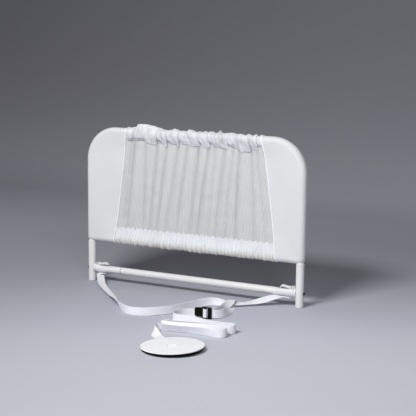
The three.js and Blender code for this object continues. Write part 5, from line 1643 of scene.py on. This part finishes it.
def disc_plate(spin, whole):
    """A flat disc with a faint rim and two round-ended slots for the strap."""
    low = disc["pad_thick"] + 0.0003
    high, r = low + disc["thick"], disc["radius"]
    plate = turned("anchor_disc", [
        (0, low), (r - 0.0016, low), (r - 0.0005, low + 0.0005), (r, low + 0.0014), (r, high - 0.0012),
        (r - 0.0004, high - 0.0004), (r - 0.0014, high), (r - 0.0042, high - 0.00005),
        (r - 0.0052, high - 0.00035), (r - 0.0062, high - 0.0004), (0, high - 0.0004)],
        disc_plastic, faces=160)
    cuts = []
    for way in (1, -1):
        x, half, tool_low, tool_high = way * strap_slot_x, strap_slot_half, low - 0.004, high + 0.004
        tool = block("slot", (x - strap_slot_r, -half, tool_low), (x + strap_slot_r, half, tool_high))
        ends = [rod("slot_end", (x, y, tool_low), (x, y, tool_high), strap_slot_r, 24) for y in (-half, half)]
        cuts.append(moved(combine(tool, joins=ends), matrix=spin))
    combine(plate, cuts=cuts)
    eased(plate, 0.0005, 3, angle=50)
    return place(moved(plate, matrix=whole), "root", "disc_plate", "disc_plastic")


def disc_pad(spin, whole):
    """A round pad with a channel for the strap."""
    r, thick = disc["pad_radius"], disc["pad_thick"]
    pad = turned("foam_pad", [
        (0, 0), (r - 0.0016, 0), (r - 0.0005, 0.0006), (r, 0.0018), (r + 0.0004, thick * 0.5),
        (r, thick - 0.0012), (r - 0.0008, thick - 0.0002), (r - 0.0020, thick), (0, thick)],
        pad_black, faces=128)
    channel = block("channel", (channel_far, -channel_half, thick - channel_deep),
                    (channel_near, channel_half, 0.012))
    combine(pad, cuts=[moved(channel, matrix=spin)])
    eased(pad, 0.0005, angle=50)
    place(moved(pad, matrix=whole), "root", "disc_pad", "pad_foam")
    return pad


disc_spin, disc_place = Matrix.Rotation(disc["turn"], 4, "Z"), disc_matrix()
disc_pieces = [disc_plate(disc_spin, disc_place), disc_pad(disc_spin, disc_place)]


# Floor, backdrop and light
# Painted light and shade: the paper's colour by distance behind the rail's middle, in metres, set to stand in
# for the lamps' falloff
paper_light_and_shade = [
    (-1.25, (0.47, 0.475, 0.52)), (-0.93, (0.50, 0.515, 0.57)), (-0.60, (0.52, 0.535, 0.60)),
    (-0.30, (0.48, 0.495, 0.565)), (0.11, (0.43, 0.44, 0.50)), (0.57, (0.43, 0.43, 0.49)),
    (1.0, (0.485, 0.485, 0.555)), (1.5, (0.57, 0.57, 0.65)), (1.9, (0.585, 0.585, 0.665)),
    (2.2, (0.505, 0.505, 0.565)), (2.4, (0.42, 0.42, 0.475)), (2.6, (0.355, 0.355, 0.40)),
    (2.8, (0.305, 0.31, 0.345)),
]


paper_near, paper_far = -1.3, 2.9
floor_z, floor_front, sweep_start, sweep_radius, wall_top, paper_half = -0.0002, -5.0, 1.6, 1.2, 4.5, 6


def paper_painted_light():
    """Painted light and shade by distance behind the rail: slanted near it, level far behind, and a painted
    pool of light, paler to the right in front.
    """
    n = Nodes("studio_paper_painted_light")
    x, y, _ = n.split(n.place())
    slant = n.math("MULTIPLY", x, n.span(y, 0.8, 2.0, 0.53, 0.0))
    behind = n.math("SUBTRACT", y, slant)
    stops = [((at - paper_near) / (paper_far - paper_near), color) for at, color in paper_light_and_shade]
    tone = n.ramp(n.span(behind, paper_near, paper_far, 0.0, 1.0), stops)
    # Painted pool of light: paler to the right in front
    sideways = n.math("ADD", n.math("MULTIPLY", x, 0.88), n.math("MULTIPLY", y, 0.47))
    lift = n.math("MULTIPLY_ADD", sideways, n.span(behind, -0.4, 0.7, 0.34, 0.0), 1.0)
    n.feed(Base_Color=n.scaled(tone, lift), Normal=n.bump(n.noise(n.place(), 260.0), 0.05, 0.0006))
    return n.finish(Roughness=0.9)


def studio():
    """Pale paper on the floor, swept up behind."""
    profile = [(floor_front, floor_z), (sweep_start, floor_z)]
    for i in range(1, 17):
        a = math.pi / 2 * i / 16
        rise = sweep_radius - sweep_radius * math.cos(a)
        profile.append((sweep_start + sweep_radius * math.sin(a), rise + floor_z))
    profile.append((sweep_start + sweep_radius, wall_top))
    points = [(x, y, z) for x in (-paper_half, paper_half) for y, z in profile]
    count = len(profile)
    faces = [(i, count + i, count + i + 1, i + 1) for i in range(count - 1)]
    make_piece("studio_sweep", points, faces, paper_painted_light(), None, sharp=None)


def lamp(name, where, aim, wide, high, power, beam=180):
    """An area lamp that isn't seen itself; a narrow beam keeps its light off the floor."""
    data = bpy.data.lights.new(name, "AREA")
    data.spread = math.radians(beam)
    data.shape, data.size, data.size_y, data.energy = "RECTANGLE", wide, high, power
    lamp_object = bpy.data.objects.new(name, data)
    where, aim = Vector(where), Vector(aim)
    turn = (aim - where).to_track_quat("-Z", "Y").to_matrix().to_4x4()
    lamp_object.matrix_world = Matrix.Translation(where) @ turn
    scene.collection.objects.link(lamp_object)
    lamp_object.visible_camera = False


studio()
lamp("key", (0.0, -2.0, 2.0), (0, 0, 0.1), 0.9, 0.45, 53.5)
lamp("front_fill", (-0.3, -3.2, 1.5), (0, 0, 0.2), 2.2, 1.6, 14)
lamp("right_fill", (1.5, -2.0, 1.7), (0.9, -0.9, 0), 0.8, 0.8, 13)
lamp("back_fill", (0.2, 2.1, 0.50), (0, 0, 0.36), 1.2, 0.3, 0.65, 36)
world = bpy.data.worlds.new("soft_world")
world.use_nodes = True
sky = world.node_tree.nodes["Background"].inputs
sky["Color"].default_value = (0.96, 0.97, 1.0, 1)
sky["Strength"].default_value = 0.10
scene.world = world
